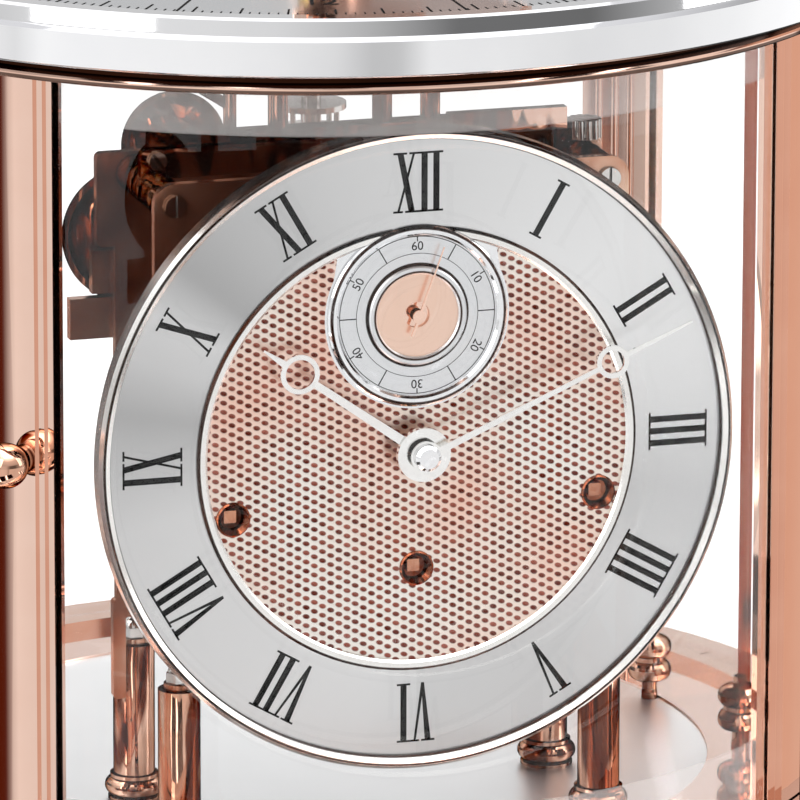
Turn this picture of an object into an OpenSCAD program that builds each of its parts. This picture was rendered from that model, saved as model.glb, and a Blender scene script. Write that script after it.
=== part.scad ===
// Tellurium clock: a round glass case with a striking movement, and a sun, earth and moon on its top.
// The origin is the middle of the floor that the feet stand on, +Z is up and the dial faces -Y.
// Directions round the case are angles from the front (-Y), positive towards +X.

/* [Base] */
// Height of the turned feet
feet_h = 8; // [5:0.5:14]
// Largest radius of a foot
foot_r = 11; // [8:0.5:15]
// Distance from the outside of the base ring in to the middle of a foot
feet_inset = 28; // [20:1:45]
// Height of the base ring
base_ring_h = 21; // [16:0.5:30]
// Outer radius of the base ring and of the top ring
ring_r = 140; // [137:0.5:150]
// Wall of the base ring and of the top ring
ring_wall = 6; // [4:0.5:9]
// Height of the base moulding
base_moulding_h = 4.6; // [4:0.2:7]
// How far the rim round the floor stands above it
rim_h = 2.6; // [1.5:0.1:3.5]
// Thickness of the floor ring
floor_t = 3; // [2:0.25:4]
// Gap between the floor ring and the inner face of the posts
floor_clear = 3; // [1.5:0.5:6]
// Radial width of the floor ring
floor_ring_w = 20.5; // [14:0.5:30]

/* [Case] */
// Distance from the outside of the rings in to the outer face of the posts and of the door
case_inset = 12; // [11:0.5:15]
// Radial depth of the posts and of the door uprights
post_depth = 6.5; // [6:0.25:8]
// Height of the case between the mouldings
case_h = 192.4; // [180:1:215]
// Thickness of the curved glass
glass_t = 2.5; // [2:0.25:3]
// Angular width of a post in degrees
post_angle = 9.5; // [7:0.5:11]
// Direction of the middle of a rear post in degrees
rear_post_at = 124.5; // [115:0.5:130]
// Direction of the strip that joins the two panes of a side glass, in degrees
joint_strip_at = 101.8; // [99:0.2:106]
// Width of the joint strips
joint_strip_w = 2; // [1.5:0.1:3]
// Radius of the flutes in the posts
flute_r = 1.3; // [0.8:0.1:1.6]

/* [Top] */
// Height of the moulding under the top ring
top_moulding_h = 5.3; // [4.8:0.1:7]
// Height of the top ring
top_ring_h = 13.7; // [11:0.1:18]
// Depth of the calendar plate below the top ring's rim
calendar_drop = 1.2; // [0.6:0.1:3]
// Thickness of the calendar plate
calendar_t = 2.5; // [2:0.25:4]
// Thickness of the roof plate
roof_t = 2; // [1.5:0.25:3]

/* [Door] */
// Half the angle of the opening between the door uprights in degrees
opening_half = 44.5; // [42:0.5:46]
// Angular width of a door upright in degrees
stile_angle = 7; // [6:0.25:8]
// Gap between a door upright and its post, in degrees
door_gap = 0.7; // [0.65:0.05:1]
// Gap above and below the door
door_clear = 0.4; // [0.3:0.1:1]
// Height of the clear strip along the top of the pane
top_strip_h = 11.8; // [8:0.2:16]
// Height of the clear strip along the foot of the pane
foot_strip_h = 16.4; // [8:0.2:20]
// Radius of the ball knob
knob_r = 5.4; // [4:0.1:7]
// Height of the knob above the dial's centre
knob_up = 3.4; // [-20:0.2:20]
// Radius of a hinge pin
hinge_pin_r = 1.2; // [1:0.1:1.4]

/* [Dial] */
// Gap between the edge of the bezel and the inner face of the door's uprights
dial_clear = 2.4; // [2:0.1:6]
// Height of the dial's centre above the floor
dial_up = 99; // [92:0.5:105]
// Outer radius of the chapter ring
chapter_r = 75; // [70:0.5:76]
// Inner radius of the chapter ring
chapter_in_r = 54; // [52:0.5:58]
// Thickness of the chapter ring
chapter_t = 1.2; // [0.8:0.1:2]
// Thickness of the dial plate
dial_t = 2; // [1.5:0.1:3]
// Radial width of the bezel
bezel_w = 3; // [2:0.1:3.2]
// How far the bezel stands above the chapter ring
bezel_h = 2.5; // [1.5:0.1:2.6]
// Distance of the seconds dial above the dial's centre
seconds_up = 32.5; // [29:0.5:34]
// Outer radius of the seconds dial
seconds_r = 22; // [18:0.5:23]
// Radius of the copper disc in the seconds dial
seconds_disc_r = 10; // [7:0.5:12]
// Radius of the hole in that disc
seconds_hole_r = 3.1; // [2:0.1:4]
// Outer radius of a winding bush
bush_r = 4.2; // [3.6:0.1:5]

/* [Hands] */
// Length of the minute hand
minute_l = 71.3; // [60:0.5:72]
// Direction of the minute hand, in degrees from twelve
minute_at = 66.5; // [0:0.5:359]
// Length of the hour hand
hour_l = 48; // [40:0.5:52]
// Direction of the hour hand, in degrees from twelve
hour_at = 305.5; // [0:0.5:359]
// Length of the seconds hand
second_l = 17.5; // [12:0.5:19]
// Direction of the seconds hand, in degrees from twelve
second_at = 20; // [0:1:359]
// Thickness of the hands
hand_t = 0.8; // [0.5:0.1:1.2]

/* [Movement] */
// Half the width of the movement plates
plate_half_w = 58.5; // [54:0.5:60]
// Height of the plates above the dial's centre
plate_up = 63; // [56:0.5:66]
// Depth of the plates below the dial's centre
plate_down = 52.5; // [48:0.5:56]
// Thickness of the movement plates
plate_t = 2.5; // [2:0.1:3.5]
// Distance from the chapter ring's face back to the front plate
plate_at = 20; // [18:0.5:24]
// Gap between the two plates
plate_gap = 33.5; // [31:0.5:40]
// Radius of the pillars between the plates
pillar_r = 4.6; // [3:0.1:5]
// Radius of the support columns
column_r = 5.1; // [4:0.1:6]
// Radius of the collars at the feet of the columns
collar_r = 7.2; // [6.5:0.1:9]
// Sideways distance of the columns from the middle
column_x = 52.5; // [48:0.5:56]
// Distance of the front columns behind the face of the chapter ring
front_column_back = 21.5; // [17:0.5:30]
// Distance of the rear columns behind the face of the chapter ring
rear_column_back = 63; // [56:0.5:80]
// Height of the seat rails under the movement plates
seat_h = 8; // [7:0.5:10]
// Radius of a mainspring barrel
barrel_r = 19; // [15:0.5:19.5]
// Length of a mainspring barrel
barrel_l = 20; // [14:0.5:22]
// Radius of a winding arbor
winder_r = 2.2; // [1.8:0.1:2.4]
// Sideways distance of the side winding arbors
winder_x = 45; // [44:0.5:48]
// Depth of the side winding arbors below the dial's centre
winder_down = 14; // [10:0.5:18]
// Radius of the larger bell
bell_r = 16.5; // [12:0.5:18]
// Radius of the smaller bell
small_bell_r = 13; // [9:0.5:14]

/* [Tellurium] */
// Distance from the sun to the earth
orbit_r = 85; // [80:1:92]
// Radius of the earth globe
globe_r = 16; // [12:0.5:18]
// Radius of the sun
sun_r = 13; // [9:0.5:16]
// Radius of the moon
moon_r = 4.2; // [3:0.1:6]
// Distance from the earth to the moon
moon_at = 25; // [23:0.5:30]
// Height of the earth's middle above the calendar plate
globe_up = 56; // [52:1:70]
// Tilt of the earth's axis in degrees
earth_tilt = 23.5; // [20:0.5:26]
// Direction of the arm at rest, in degrees from the front
arm_at = 0; // [-180:1:180]

/* [Hidden] */
$fn = 96;

// Clearances and small shared sizes
running_gap = 0.05;
apart = 0.3;
groove_gap = 0.05;
groove_deg = 1;
cut = 1;

// Heights up the case
base_top = feet_h + base_ring_h;
rim_top = base_top + base_moulding_h;
floor_top = rim_top - rim_h;
case_top = rim_top + case_h;
roof_top = case_top + top_moulding_h;
top_z = roof_top + top_ring_h;
calendar_top = top_z - calendar_drop;
dial_z = floor_top + dial_up;
case_r = ring_r - case_inset;
case_in_r = case_r - post_depth;
floor_r = case_in_r - floor_clear;
floor_hole_r = floor_r - floor_ring_w;
feet_at = ring_r - feet_inset;
glass_in_r = case_in_r + 1.5;
glass_out_r = glass_in_r + glass_t;
ring_in_r = ring_r - ring_wall;

// Angles round the case
stile_end = opening_half + stile_angle;
front_post_from = stile_end + door_gap;
front_post_to = front_post_from + post_angle;
rear_post_from = rear_post_at - post_angle / 2;
rear_post_to = rear_post_at + post_angle / 2;
joint_half = asin(joint_strip_w / 2 / glass_in_r);
joint_gap = asin(apart / glass_in_r);
hinge_at = stile_end - 1.5;
hinge_r = case_r - 3;

// Wheels: number of teeth and module of each meshing pair
centre_teeth = 12;
intermediate_teeth = 50;
intermediate_leaves = 10;
barrel_teeth = 80;
side_barrel_teeth = 68;
train_module = 0.6;
cannon_teeth = 12;
motion_teeth = 36;
cannon_module = 0.75;
motion_leaves = 12;
hour_teeth = 48;
hour_module = 0.6;
sun_teeth = 54;
orbit_module = 1;
idler_teeth = orbit_r / orbit_module - sun_teeth;

// Levels behind the chapter ring's face, measured backwards from it
dial_back = chapter_t + dial_t;
front_plate_back = plate_at + plate_t;
back_plate_at = front_plate_back + plate_gap;
back_plate_back = back_plate_at + plate_t;
barrel_back = back_plate_at - 1.5;
barrel_front = barrel_back - barrel_l;
rim_t = 2;
wheel_t = 1.2;
wheel_at = front_plate_back + 4;
motion_stud_x = cannon_module * (cannon_teeth + motion_teeth) / 2;
time_winder_down = 29.2;
winder_spots = [[winder_x, -winder_down], [-winder_x, -winder_down], [0, -time_winder_down]];
bezel_r = chapter_r + bezel_w;
dial_setback = sqrt((case_in_r - dial_clear) ^ 2 - bezel_r ^ 2);

// The intermediate arbor lies where both of its centre distances are right
to_centre = train_module * (centre_teeth + intermediate_teeth) / 2;
to_barrel = train_module * (barrel_teeth + intermediate_leaves) / 2;
intermediate_y = -(to_centre ^ 2 - to_barrel ^ 2 + time_winder_down ^ 2) / (2 * time_winder_down);
intermediate_x = -sqrt(to_centre ^ 2 - intermediate_y ^ 2);
bearing_to_centre = atan2(-intermediate_y, -intermediate_x);
bearing_to_barrel = atan2(-time_winder_down - intermediate_y, -intermediate_x);

// Sizes of the arbors
arbor_r = 1.5;
tip_r = 0.7;
pipe_r = 2.6;
small_arbor_r = 1;
seconds_arbor_r = 0.9;
shaft_r = 2.5;

// Levels of the hands in front of the chapter ring's face
hour_level = 4.6;
hub_t = 1.4;
minute_level = 7.4;
nut_top = 10;
second_level = 1.9;

// Tellurium levels above the calendar plate
wheel_up = 10;
orbit_wheel_t = 3;
arm_up = wheel_up + orbit_wheel_t + 3;
arm_t = 4;
arm_z = calendar_top + arm_up;
sleeve_r = 4;
carrier_top = calendar_top + globe_up - globe_r - 9;

// Outline of a wheel with straight-sided teeth
function tooth(n, m, i, ph) = let (p = 360 / n, a = i * p + ph, root = m * (n / 2 - 1.2),
    mid = m * n / 2, tip = m * (n / 2 + 0.9)) [
    for (s = [[root, -0.29], [mid, -0.225], [tip, -0.1], [tip, 0.1], [mid, 0.225], [root, 0.29]])
        [s[0] * cos(a + s[1] * p), s[0] * sin(a + s[1] * p)]];

// Phase that puts a gap of the driven wheel on a tooth of the driver
function mesh_phase(n1, ph1, bearing, n2) =
    bearing + 180 - (ph1 - bearing) * n1 / n2 - 180 / n2;

function polar(r, a) = [r * sin(a), -r * cos(a)];

module gear(n, m, t, ph = 0) {
    linear_extrude(t)
        polygon([for (i = [0:n - 1]) each tooth(n, m, i, ph)]);
}

// A ring between two radii and two heights
module ring(r0, r1, z0, z1) {
    translate([0, 0, z0])
        difference() {
            cylinder(h = z1 - z0, r = r1);
            translate([0, 0, -cut])
                cylinder(h = z1 - z0 + 2 * cut, r = r0);
        }
}

// A curved wall between two radii, two directions and two heights
module arc_wall(r0, r1, a0, a1, z0, z1) {
    rotate([0, 0, a0 - 90])
        rotate_extrude(angle = a1 - a0)
            translate([r0, z0])
                square([r1 - r0, z1 - z0]);
}

// Local frame of the dial: x to the right, y up, z out towards the front from the chapter ring's face
module at_dial(x = 0, y = 0, z = 0) {
    translate([x, -dial_setback - z, dial_z + y])
        rotate([90, 0, 0])
            children();
}

module round_plate(x0, x1, y0, y1, r, t) {
    translate([x0 + r, y0, 0])
        cube([x1 - x0 - 2 * r, y1 - y0, t]);
    translate([x0, y0 + r, 0])
        cube([x1 - x0, y1 - y0 - 2 * r, t]);
    for (x = [x0 + r, x1 - r], y = [y0 + r, y1 - r])
        translate([x, y, 0])
            cylinder(h = t, r = r);
}

module bar(x0, x1, y0, y1, z0, z1) {
    translate([x0, y0, z0])
        cube([x1 - x0, y1 - y0, z1 - z0]);
}

module feet() {
    color("gainsboro")
        for (a = [45, 135, 225, 315])
            translate(concat(polar(feet_at, a), [0]))
                rotate_extrude()
                    polygon([[0, 0], [foot_r - 2, 0], [foot_r - 1, feet_h * 0.2], [foot_r, feet_h * 0.5],
                        [foot_r - 1, feet_h * 0.8], [foot_r - 3, feet_h], [0, feet_h]]);
}

base_plate_t = 3;
base_plate_r = ring_r - ring_wall / 2;

module base_plate() {
    color("dimgray")
        translate([0, 0, feet_h])
            cylinder(h = base_plate_t, r = base_plate_r);
}

band_h = 4;
crease = 1;

module base_ring() {
    color("gainsboro")
        rotate_extrude()
            polygon([[base_plate_r, feet_h], [ring_r, feet_h], [ring_r, base_top - band_h - crease],
                [ring_r - crease, base_top - band_h], [ring_r - crease, base_top - crease],
                [ring_r - 2 * crease, base_top], [ring_in_r, base_top],
                [ring_in_r, feet_h + base_plate_t], [base_plate_r, feet_h + base_plate_t]]);
}

bead_r = ring_r - ring_wall;
neck_r = bead_r - 3;
skirt_w = 8;
ledge_w = 6;
ledge_t = 3;
pin_root = 3;

bead_h = 1.7;
bead_round = 0.4;

module base_moulding() {
    bead_z = rim_top - bead_h;
    low = floor_top - floor_t - mirror_t;
    color("rosybrown")
        difference() {
            union() {
                rotate_extrude()
                    polygon([[floor_r - ledge_w, low - ledge_t], [neck_r, low - ledge_t], [neck_r, bead_z],
                        [bead_r - bead_round, bead_z], [bead_r, bead_z + bead_round],
                        [bead_r, rim_top - bead_round], [bead_r - bead_round, rim_top],
                        [floor_r, rim_top], [floor_r, low], [floor_r - ledge_w, low]]);
                ring(ring_in_r - skirt_w, ring_in_r, feet_h + base_plate_t, low - ledge_t / 2);
            }
            hinge_hole(rim_top - pin_root);
        }
}

module hinge_hole(z) {
    translate(concat(polar(hinge_r, hinge_at), [z]))
        cylinder(h = pin_root + cut, r = hinge_pin_r);
}

module floor_ring() {
    color("rosybrown")
        ring(floor_hole_r, floor_r, floor_top - floor_t, floor_top);
}

mirror_t = 1.5;
mirror_top = floor_top - 0.6;

// Mirror with a thin flange under the floor ring and its face just below the ring's
module floor_mirror() {
    low = floor_top - floor_t - mirror_t;
    color("lightgray") {
        translate([0, 0, low])
            cylinder(h = mirror_t, r = floor_r);
        translate([0, 0, low])
            cylinder(h = mirror_top - low, r = floor_hole_r - groove_gap);
    }
}

module post(mid) {
    intersection() {
        linear_extrude(case_h)
            difference() {
                circle(case_r);
                circle(case_in_r);
                for (s = [-1, 0, 1], r = [case_r + flute_r * 0.4, case_in_r - flute_r * 0.4])
                    rotate(mid - 90 + s * post_angle * 0.25)
                        translate([r, 0])
                            circle(flute_r);
            }
        arc_wall(case_in_r - cut, case_r + cut, mid - post_angle / 2, mid + post_angle / 2, 0, case_h);
    }
}

// Four fluted posts grooved for the panes, and the flat strips between the side panes
module case_posts() {
    front_mid = (front_post_from + front_post_to) / 2;
    color("rosybrown") {
        for (s = [0, 1])
            mirror([s, 0, 0])
                arc_wall(glass_in_r, glass_out_r, joint_strip_at - joint_half, joint_strip_at + joint_half,
                    rim_top, case_top);
        for (mid = [front_mid, rear_post_at, -rear_post_at, -front_mid])
            translate([0, 0, rim_top])
                difference() {
                    post(mid);
                    for (s = [-1, 1])
                        arc_wall(glass_in_r - groove_gap, glass_out_r + groove_gap,
                            mid + s * post_angle / 2 - groove_deg, mid + s * post_angle / 2 + groove_deg,
                            -cut, case_h + cut);
                }
    }
}

// Two panes on each side and one at the back
module case_glasses() {
    strip_side = joint_half + joint_gap;
    color("lightcyan", 0.3) {
        for (s = [0, 1])
            mirror([s, 0, 0]) {
                arc_wall(glass_in_r, glass_out_r, front_post_to - groove_deg, joint_strip_at - strip_side,
                    rim_top, case_top);
                arc_wall(glass_in_r, glass_out_r, joint_strip_at + strip_side, rear_post_from + groove_deg,
                    rim_top, case_top);
            }
        arc_wall(glass_in_r, glass_out_r, rear_post_to - groove_deg, 360 - rear_post_to + groove_deg,
            rim_top, case_top);
    }
}

module top_moulding() {
    color("rosybrown")
        difference() {
            union() {
                rotate_extrude()
                    polygon([[floor_r, case_top], [bead_r - bead_round, case_top],
                        [bead_r, case_top + bead_round], [bead_r, case_top + bead_h - bead_round],
                        [bead_r - bead_round, case_top + bead_h], [neck_r, case_top + bead_h + 0.6],
                        [neck_r, roof_top], [floor_r, roof_top]]);
                translate([0, 0, roof_top - roof_t])
                    cylinder(h = roof_t, r = floor_r + cut);
            }
            translate([0, 0, roof_top - roof_t - cut])
                cylinder(h = roof_t + 2 * cut, r = shaft_r + running_gap);
            hinge_hole(case_top - cut);
        }
}

flange_w = 4;
flange_t = 1.5;

module top_ring() {
    upper_band_h = 4.3;
    color("gainsboro")
        rotate_extrude()
            polygon([[neck_r - flange_w, roof_top], [ring_r - 0.5, roof_top], [ring_r, roof_top + 0.5],
                [ring_r, top_z - upper_band_h - crease], [ring_r - crease, top_z - upper_band_h],
                [ring_r - crease, top_z - 0.6], [ring_r - crease - 0.6, top_z], [ring_in_r, top_z],
                [ring_in_r, roof_top + flange_t], [neck_r - flange_w, roof_top + flange_t]]);
}

module calendar_plate() {
    color("silver")
        difference() {
            union() {
                translate([0, 0, calendar_top - calendar_t])
                    cylinder(h = calendar_t, r = ring_in_r);
                ring(ring_in_r - 5, ring_in_r, roof_top + flange_t, calendar_top - calendar_t);
            }
            translate([0, 0, calendar_top - calendar_t - cut])
                cylinder(h = calendar_t + 2 * cut, r = shaft_r + running_gap);
        }
}

// A door upright with its groove for the pane and a lower step beside the opening
module stile(s) {
    z0 = rim_top + door_clear;
    z1 = case_top - door_clear;
    step_deg = 0.9;
    step_h = 0.9;
    difference() {
        mirror([s < 0 ? 1 : 0, 0, 0])
            difference() {
                arc_wall(case_in_r, case_r, opening_half, stile_end, z0, z1);
                for (i = [1, 2])
                    arc_wall(case_r - i * step_h, case_r + cut, opening_half - cut,
                        opening_half + (3 - i) * step_deg, z0 - cut, z1 + cut);
                arc_wall(glass_in_r - groove_gap, glass_out_r + groove_gap, opening_half - cut,
                    opening_half + groove_deg, z0 - cut, z1 + cut);
            }
        children();
    }
}

module door_stile_left() {
    color("rosybrown")
        stile(-1)
            translate([0, 0, dial_z + knob_up])
                rotate([0, 0, -(opening_half + stile_angle / 2)])
                    translate([0, -case_r + 4, 0])
                        rotate([90, 0, 0])
                            cylinder(h = 8, r = knob_stem_r);
}

knob_stem_r = 2;
pin_depth = 8;

module door_stile_right() {
    color("rosybrown")
        stile(1)
            union()
                for (z = [rim_top, case_top - pin_depth])
                    translate(concat(polar(hinge_r, hinge_at), [z]))
                        cylinder(h = pin_depth, r = hinge_pin_r + running_gap);
}

module door_glass() {
    color("lightcyan", 0.3)
        arc_wall(glass_in_r, glass_out_r, -opening_half - groove_deg + 0.1, opening_half + groove_deg - 0.1,
            rim_top + door_clear, case_top - door_clear);
}

module door_strips() {
    strip_t = 1.2;
    edge = 0.1;
    z0 = rim_top + door_clear;
    z1 = case_top - door_clear;
    color("mistyrose", 0.5)
        for (z = [[z0, z0 + foot_strip_h], [z1 - top_strip_h, z1]])
            arc_wall(glass_in_r - strip_t, glass_in_r, -opening_half + edge, opening_half - edge, z[0], z[1]);
}

module door_knob() {
    collar_t = 1.2;
    color("rosybrown")
        translate([0, 0, dial_z + knob_up])
            rotate([0, 0, -(opening_half + stile_angle / 2)])
                translate([0, -case_r, 0])
                    rotate([90, 0, 0]) {
                        translate([0, 0, -4])
                            cylinder(h = 6.5, r = knob_stem_r);
                        cylinder(h = collar_t, r = 3.4);
                        translate([0, 0, collar_t + knob_r])
                            sphere(knob_r);
                    }
}

module hinge_pins() {
    reach = pin_depth - 1;
    color("silver")
        for (z = [rim_top - pin_root, case_top - reach])
            translate(concat(polar(hinge_r, hinge_at), [z]))
                cylinder(h = reach + pin_root, r = hinge_pin_r);
}

// Holes through a movement plate for every arbor
module arbor_holes(z0, h, winders = true) {
    for (p = winder_spots)
        translate([p[0], p[1], z0])
            cylinder(h = h, r = winder_r + running_gap);
    translate([0, 0, z0])
        cylinder(h = h, r = arbor_r + running_gap);
    translate([intermediate_x, intermediate_y, z0])
        cylinder(h = h, r = small_arbor_r + running_gap);
}

module plate_blank(t) {
    round_plate(-plate_half_w, plate_half_w, -plate_down, plate_up, 5, t);
}

module front_plate() {
    color("sienna")
        at_dial(0, 0, -front_plate_back)
            difference() {
                plate_blank(plate_t);
                arbor_holes(-cut, plate_t + 2 * cut);
                translate([0, seconds_up, -cut])
                    cylinder(h = plate_t + 2 * cut, r = seconds_arbor_r + running_gap);
            }
    color("sienna")
        at_dial(motion_stud_x, 0, -plate_at) {
            cylinder(h = plate_at - dial_back - 1, r = small_arbor_r);
            cylinder(h = plate_at - motion_wheel_at - apart, r = 2);
        }
}

bearing_top = plate_up - 10.6;
bearing_t = 2.4;

// Blocks at the back plate's left edge: how far each stands out, its lower and its upper level
edge_blocks = [[5, 28, 38.5], [10.5, 17, 27]];
block_hold = 6;

// Plate with a lug at its upper and lower left corner, two blocks and the lower bearing of the drive shaft
module back_plate() {
    lug = 4.5;
    low_lug = 0.9;
    block_t = 3;
    bearing_flange_t = 2;
    bearing_flange_h = 5.9;
    foot_from = -3;
    foot_to = 12;
    reach = 6;
    color("sienna") {
        at_dial(0, 0, -back_plate_back - block_t)
            for (b = edge_blocks)
                bar(-plate_half_w - b[0], block_hold - plate_half_w, b[1], b[2], 0, block_t);
        difference() {
            union() {
                at_dial(0, 0, -back_plate_back - bearing_flange_t)
                    bar(foot_from, foot_to, bearing_top - bearing_flange_h, bearing_top, 0, bearing_flange_t);
                translate([0, 0, dial_z + bearing_top - bearing_t])
                    bar(-reach - 1, foot_to, back_plate_back - dial_setback, reach, 0, bearing_t);
            }
            translate([0, 0, dial_z + bearing_top - bearing_t - cut])
                cylinder(h = bearing_t + 2 * cut, r = shaft_r + running_gap);
        }
        at_dial(strike_pivot[0], strike_pivot[1], -back_plate_back - strike_level - 0.6)
            cylinder(h = strike_level + 0.6, r = hammer_stud_r);
        at_dial(chime_pivot[0], chime_pivot[1], -back_plate_back - chime_level - 0.6)
            cylinder(h = chime_level + 0.6, r = hammer_stud_r);
        at_dial(0, 0, -back_plate_back)
            difference() {
                union() {
                    plate_blank(plate_t);
                    round_plate(-plate_half_w - lug, -plate_half_w + 10, plate_up - 23, plate_up, 1.5,
                        plate_t);
                    round_plate(-plate_half_w - low_lug, -plate_half_w + 2.2, -plate_down - 20,
                        -plate_down + 5, 1, plate_t);
                }
                arbor_holes(-cut, plate_t + 2 * cut);
            }
    }
}

pillar_x = plate_half_w - 5;
pillar_top_y = plate_up - 5.3;
pillar_low_y = 9 - plate_down;
pillar_spots = [[pillar_x, pillar_top_y], [-pillar_x, pillar_top_y],
    [pillar_x, pillar_low_y], [-pillar_x, pillar_low_y]];

module plate_pillars() {
    color("rosybrown")
        for (p = pillar_spots)
            at_dial(p[0], p[1], -back_plate_at)
                cylinder(h = plate_gap, r = pillar_r);
}

screw_r = 2.6;
screw_h = 1.3;
top_bar_y = plate_up - 2.6;
top_bar_h = 7.2;
top_bar_z = -plate_at - 20;
top_bar_t = 3;
bar_lug_x = plate_half_w - 5.3;
bar_lug_half = 3.8;
left_lug_top = top_bar_y + top_bar_h;
right_lug_top = plate_up + 0.6;
column_nut_h = 2.6;
column_nut_r = 3.2;
knurled_nut_r = 4;
knurled_nut_h = 4.6;
lug_screw_down = 2.7;

// Slotted screws at the pillars, nuts on the columns and the knurled nut on the top bar
module plate_screws() {
    slot_w = 0.7;
    dome_r = column_nut_r - 0.5;
    color("silver") {
        for (p = pillar_spots, z = [-plate_at, -back_plate_back - screw_h])
            at_dial(p[0], p[1], z)
                difference() {
                    cylinder(h = screw_h, r = screw_r);
                    translate([-slot_w / 2, -screw_r - cut, z < -plate_at ? -cut : screw_h / 2])
                        cube([slot_w, 2 * (screw_r + cut), screw_h / 2 + cut]);
                }
        column_spots()
            translate([0, 0, dial_z - plate_down - seat_h + tab_t]) {
                cylinder(h = column_nut_h, r = column_nut_r, $fn = 6);
                translate([0, 0, column_nut_h])
                    rotate_extrude()
                        polygon(concat([[0, 0]],
                            [for (a = [0:15:90]) [dome_r * cos(a), dome_r * 0.9 * sin(a)]]));
            }
        at_dial(-bar_lug_x, left_lug_top - lug_screw_down, top_bar_z + top_bar_t)
            difference() {
                cylinder(h = screw_h, r = screw_r - 0.4);
                rotate(35)
                    translate([-slot_w / 2, -screw_r - cut, screw_h / 2])
                        cube([slot_w, 2 * (screw_r + cut), screw_h / 2 + cut]);
            }
        translate([bar_lug_x, -dial_setback - top_bar_z - top_bar_t / 2, dial_z + right_lug_top]) {
            cylinder(h = knurled_nut_h, r = knurled_nut_r - 0.3);
            for (a = [0:30:330])
                rotate(a)
                    translate([knurled_nut_r - 0.5, 0, 0])
                        cylinder(h = knurled_nut_h, r = 0.8);
        }
    }
}

tab_t = 1.5;

// Rails inside the columns, under the plates, with a tab on top of each column
module seat_rails() {
    rail_w = 7;
    rail_out = column_x - 6;
    low = dial_z - plate_down - seat_h;
    color("sienna") {
        for (s = [0, 1])
            mirror([s, 0, 0]) {
                bar(rail_out - rail_w, rail_out, plate_at - dial_setback,
                    rear_column_back + 1 - dial_setback, low, low + seat_h);
                for (y = [front_column_back, rear_column_back])
                    bar(rail_out - 1, column_x, y - 3 - dial_setback, y + 1 - dial_setback, low, low + tab_t);
            }
        column_spots()
            translate([0, 0, low])
                cylinder(h = tab_t, r = column_nut_r + 0.5);
    }
}

module column_spots() {
    for (x = [-column_x, column_x], y = [front_column_back, rear_column_back])
        translate([x, y - dial_setback, 0])
            children();
}

module support_columns() {
    color("rosybrown")
        column_spots()
            translate([0, 0, mirror_top])
                cylinder(h = dial_z - plate_down - seat_h - mirror_top, r = column_r);
}

// Collars with a foot, a round bead and a neck
module column_collars() {
    foot_h = 1;
    bead_r = 2.3;
    neck_h = 0.8;
    bead_z = foot_h + bead_r;
    color("rosybrown")
        column_spots()
            translate([0, 0, mirror_top])
                rotate_extrude()
                    polygon(concat([[column_r, 0], [collar_r - 0.8, 0], [collar_r - 0.8, foot_h * 0.7]],
                        [for (a = [-70:14:70]) [collar_r - bead_r + bead_r * cos(a), bead_z + bead_r * sin(a)]],
                        [[collar_r - 1.3, bead_z + bead_r], [collar_r - 1.3, bead_z + bead_r + neck_h],
                        [column_r, bead_z + bead_r + neck_h]]));
}

// A mainspring barrel with its toothed rim; the winding arbor turns in its bore
module barrel(x, y, teeth, phase) {
    difference() {
        at_dial(x, y, -barrel_back)
            union() {
                cylinder(h = barrel_l, r = barrel_r);
                translate([0, 0, barrel_l - rim_t])
                    gear(teeth, train_module, rim_t, phase);
            }
        at_dial(x, y, -barrel_back - cut)
            cylinder(h = barrel_l + 2 * cut, r = winder_r + running_gap);
    }
}

centre_phase = 0;
wheel_phase = mesh_phase(centre_teeth, centre_phase, bearing_to_centre + 180, intermediate_teeth);
leaf_phase = wheel_phase;
barrel_phase = mesh_phase(intermediate_leaves, leaf_phase, bearing_to_barrel, barrel_teeth);

module time_barrel() {
    color("peru")
        barrel(0, -time_winder_down, barrel_teeth, barrel_phase);
}

module strike_barrel() {
    color("peru")
        barrel(-winder_x, -winder_down, side_barrel_teeth, 0);
}

module chime_barrel() {
    color("peru")
        barrel(winder_x, -winder_down, side_barrel_teeth, 0);
}

// A winding arbor with a square at its front end
module winding_arbor(x, y) {
    square_l = 7;
    square_w = winder_r * 1.36;
    end_back = -back_plate_back;
    front = -3;
    at_dial(x, y, 0) {
        translate([0, 0, end_back])
            cylinder(h = front - square_l - end_back, r = winder_r);
        translate([-square_w / 2, -square_w / 2, front - square_l])
            cube([square_w, square_w, square_l]);
    }
}

module winding_arbor_left() {
    color("silver")
        winding_arbor(-winder_x, -winder_down);
}

module winding_arbor_centre() {
    color("silver")
        winding_arbor(0, -time_winder_down);
}

module winding_arbor_right() {
    color("silver")
        winding_arbor(winder_x, -winder_down);
}

module intermediate_wheel() {
    color("goldenrod")
        at_dial(intermediate_x, intermediate_y, 0) {
            translate([0, 0, -back_plate_back])
                cylinder(h = back_plate_back - plate_at, r = small_arbor_r);
            translate([0, 0, -wheel_at - wheel_t])
                gear(intermediate_teeth, train_module, wheel_t, wheel_phase);
            translate([0, 0, -barrel_front - rim_t - 1])
                gear(intermediate_leaves, train_module, barrel_front + rim_t + 1 - wheel_at - wheel_t,
                    leaf_phase);
        }
}

cannon_at = 9;
motion_wheel_at = cannon_at + 2;
hour_wheel_at = 5.5;

module minute_arbor() {
    color("silver")
        at_dial(0, 0, 0) {
            translate([0, 0, -back_plate_back])
                cylinder(h = back_plate_back + minute_level, r = arbor_r);
            translate([0, 0, minute_level])
                cylinder(h = nut_top - 0.8 - minute_level, r = tip_r);
            translate([0, 0, -wheel_at - wheel_t - 0.8])
                gear(centre_teeth, train_module, wheel_t + 1.6, centre_phase);
            translate([0, 0, -cannon_at - 3])
                gear(cannon_teeth, cannon_module, 3.5, 0);
        }
}

motion_phase = mesh_phase(cannon_teeth, 0, 0, motion_teeth);
hour_phase = mesh_phase(motion_leaves, motion_phase, 180, hour_teeth);

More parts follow.
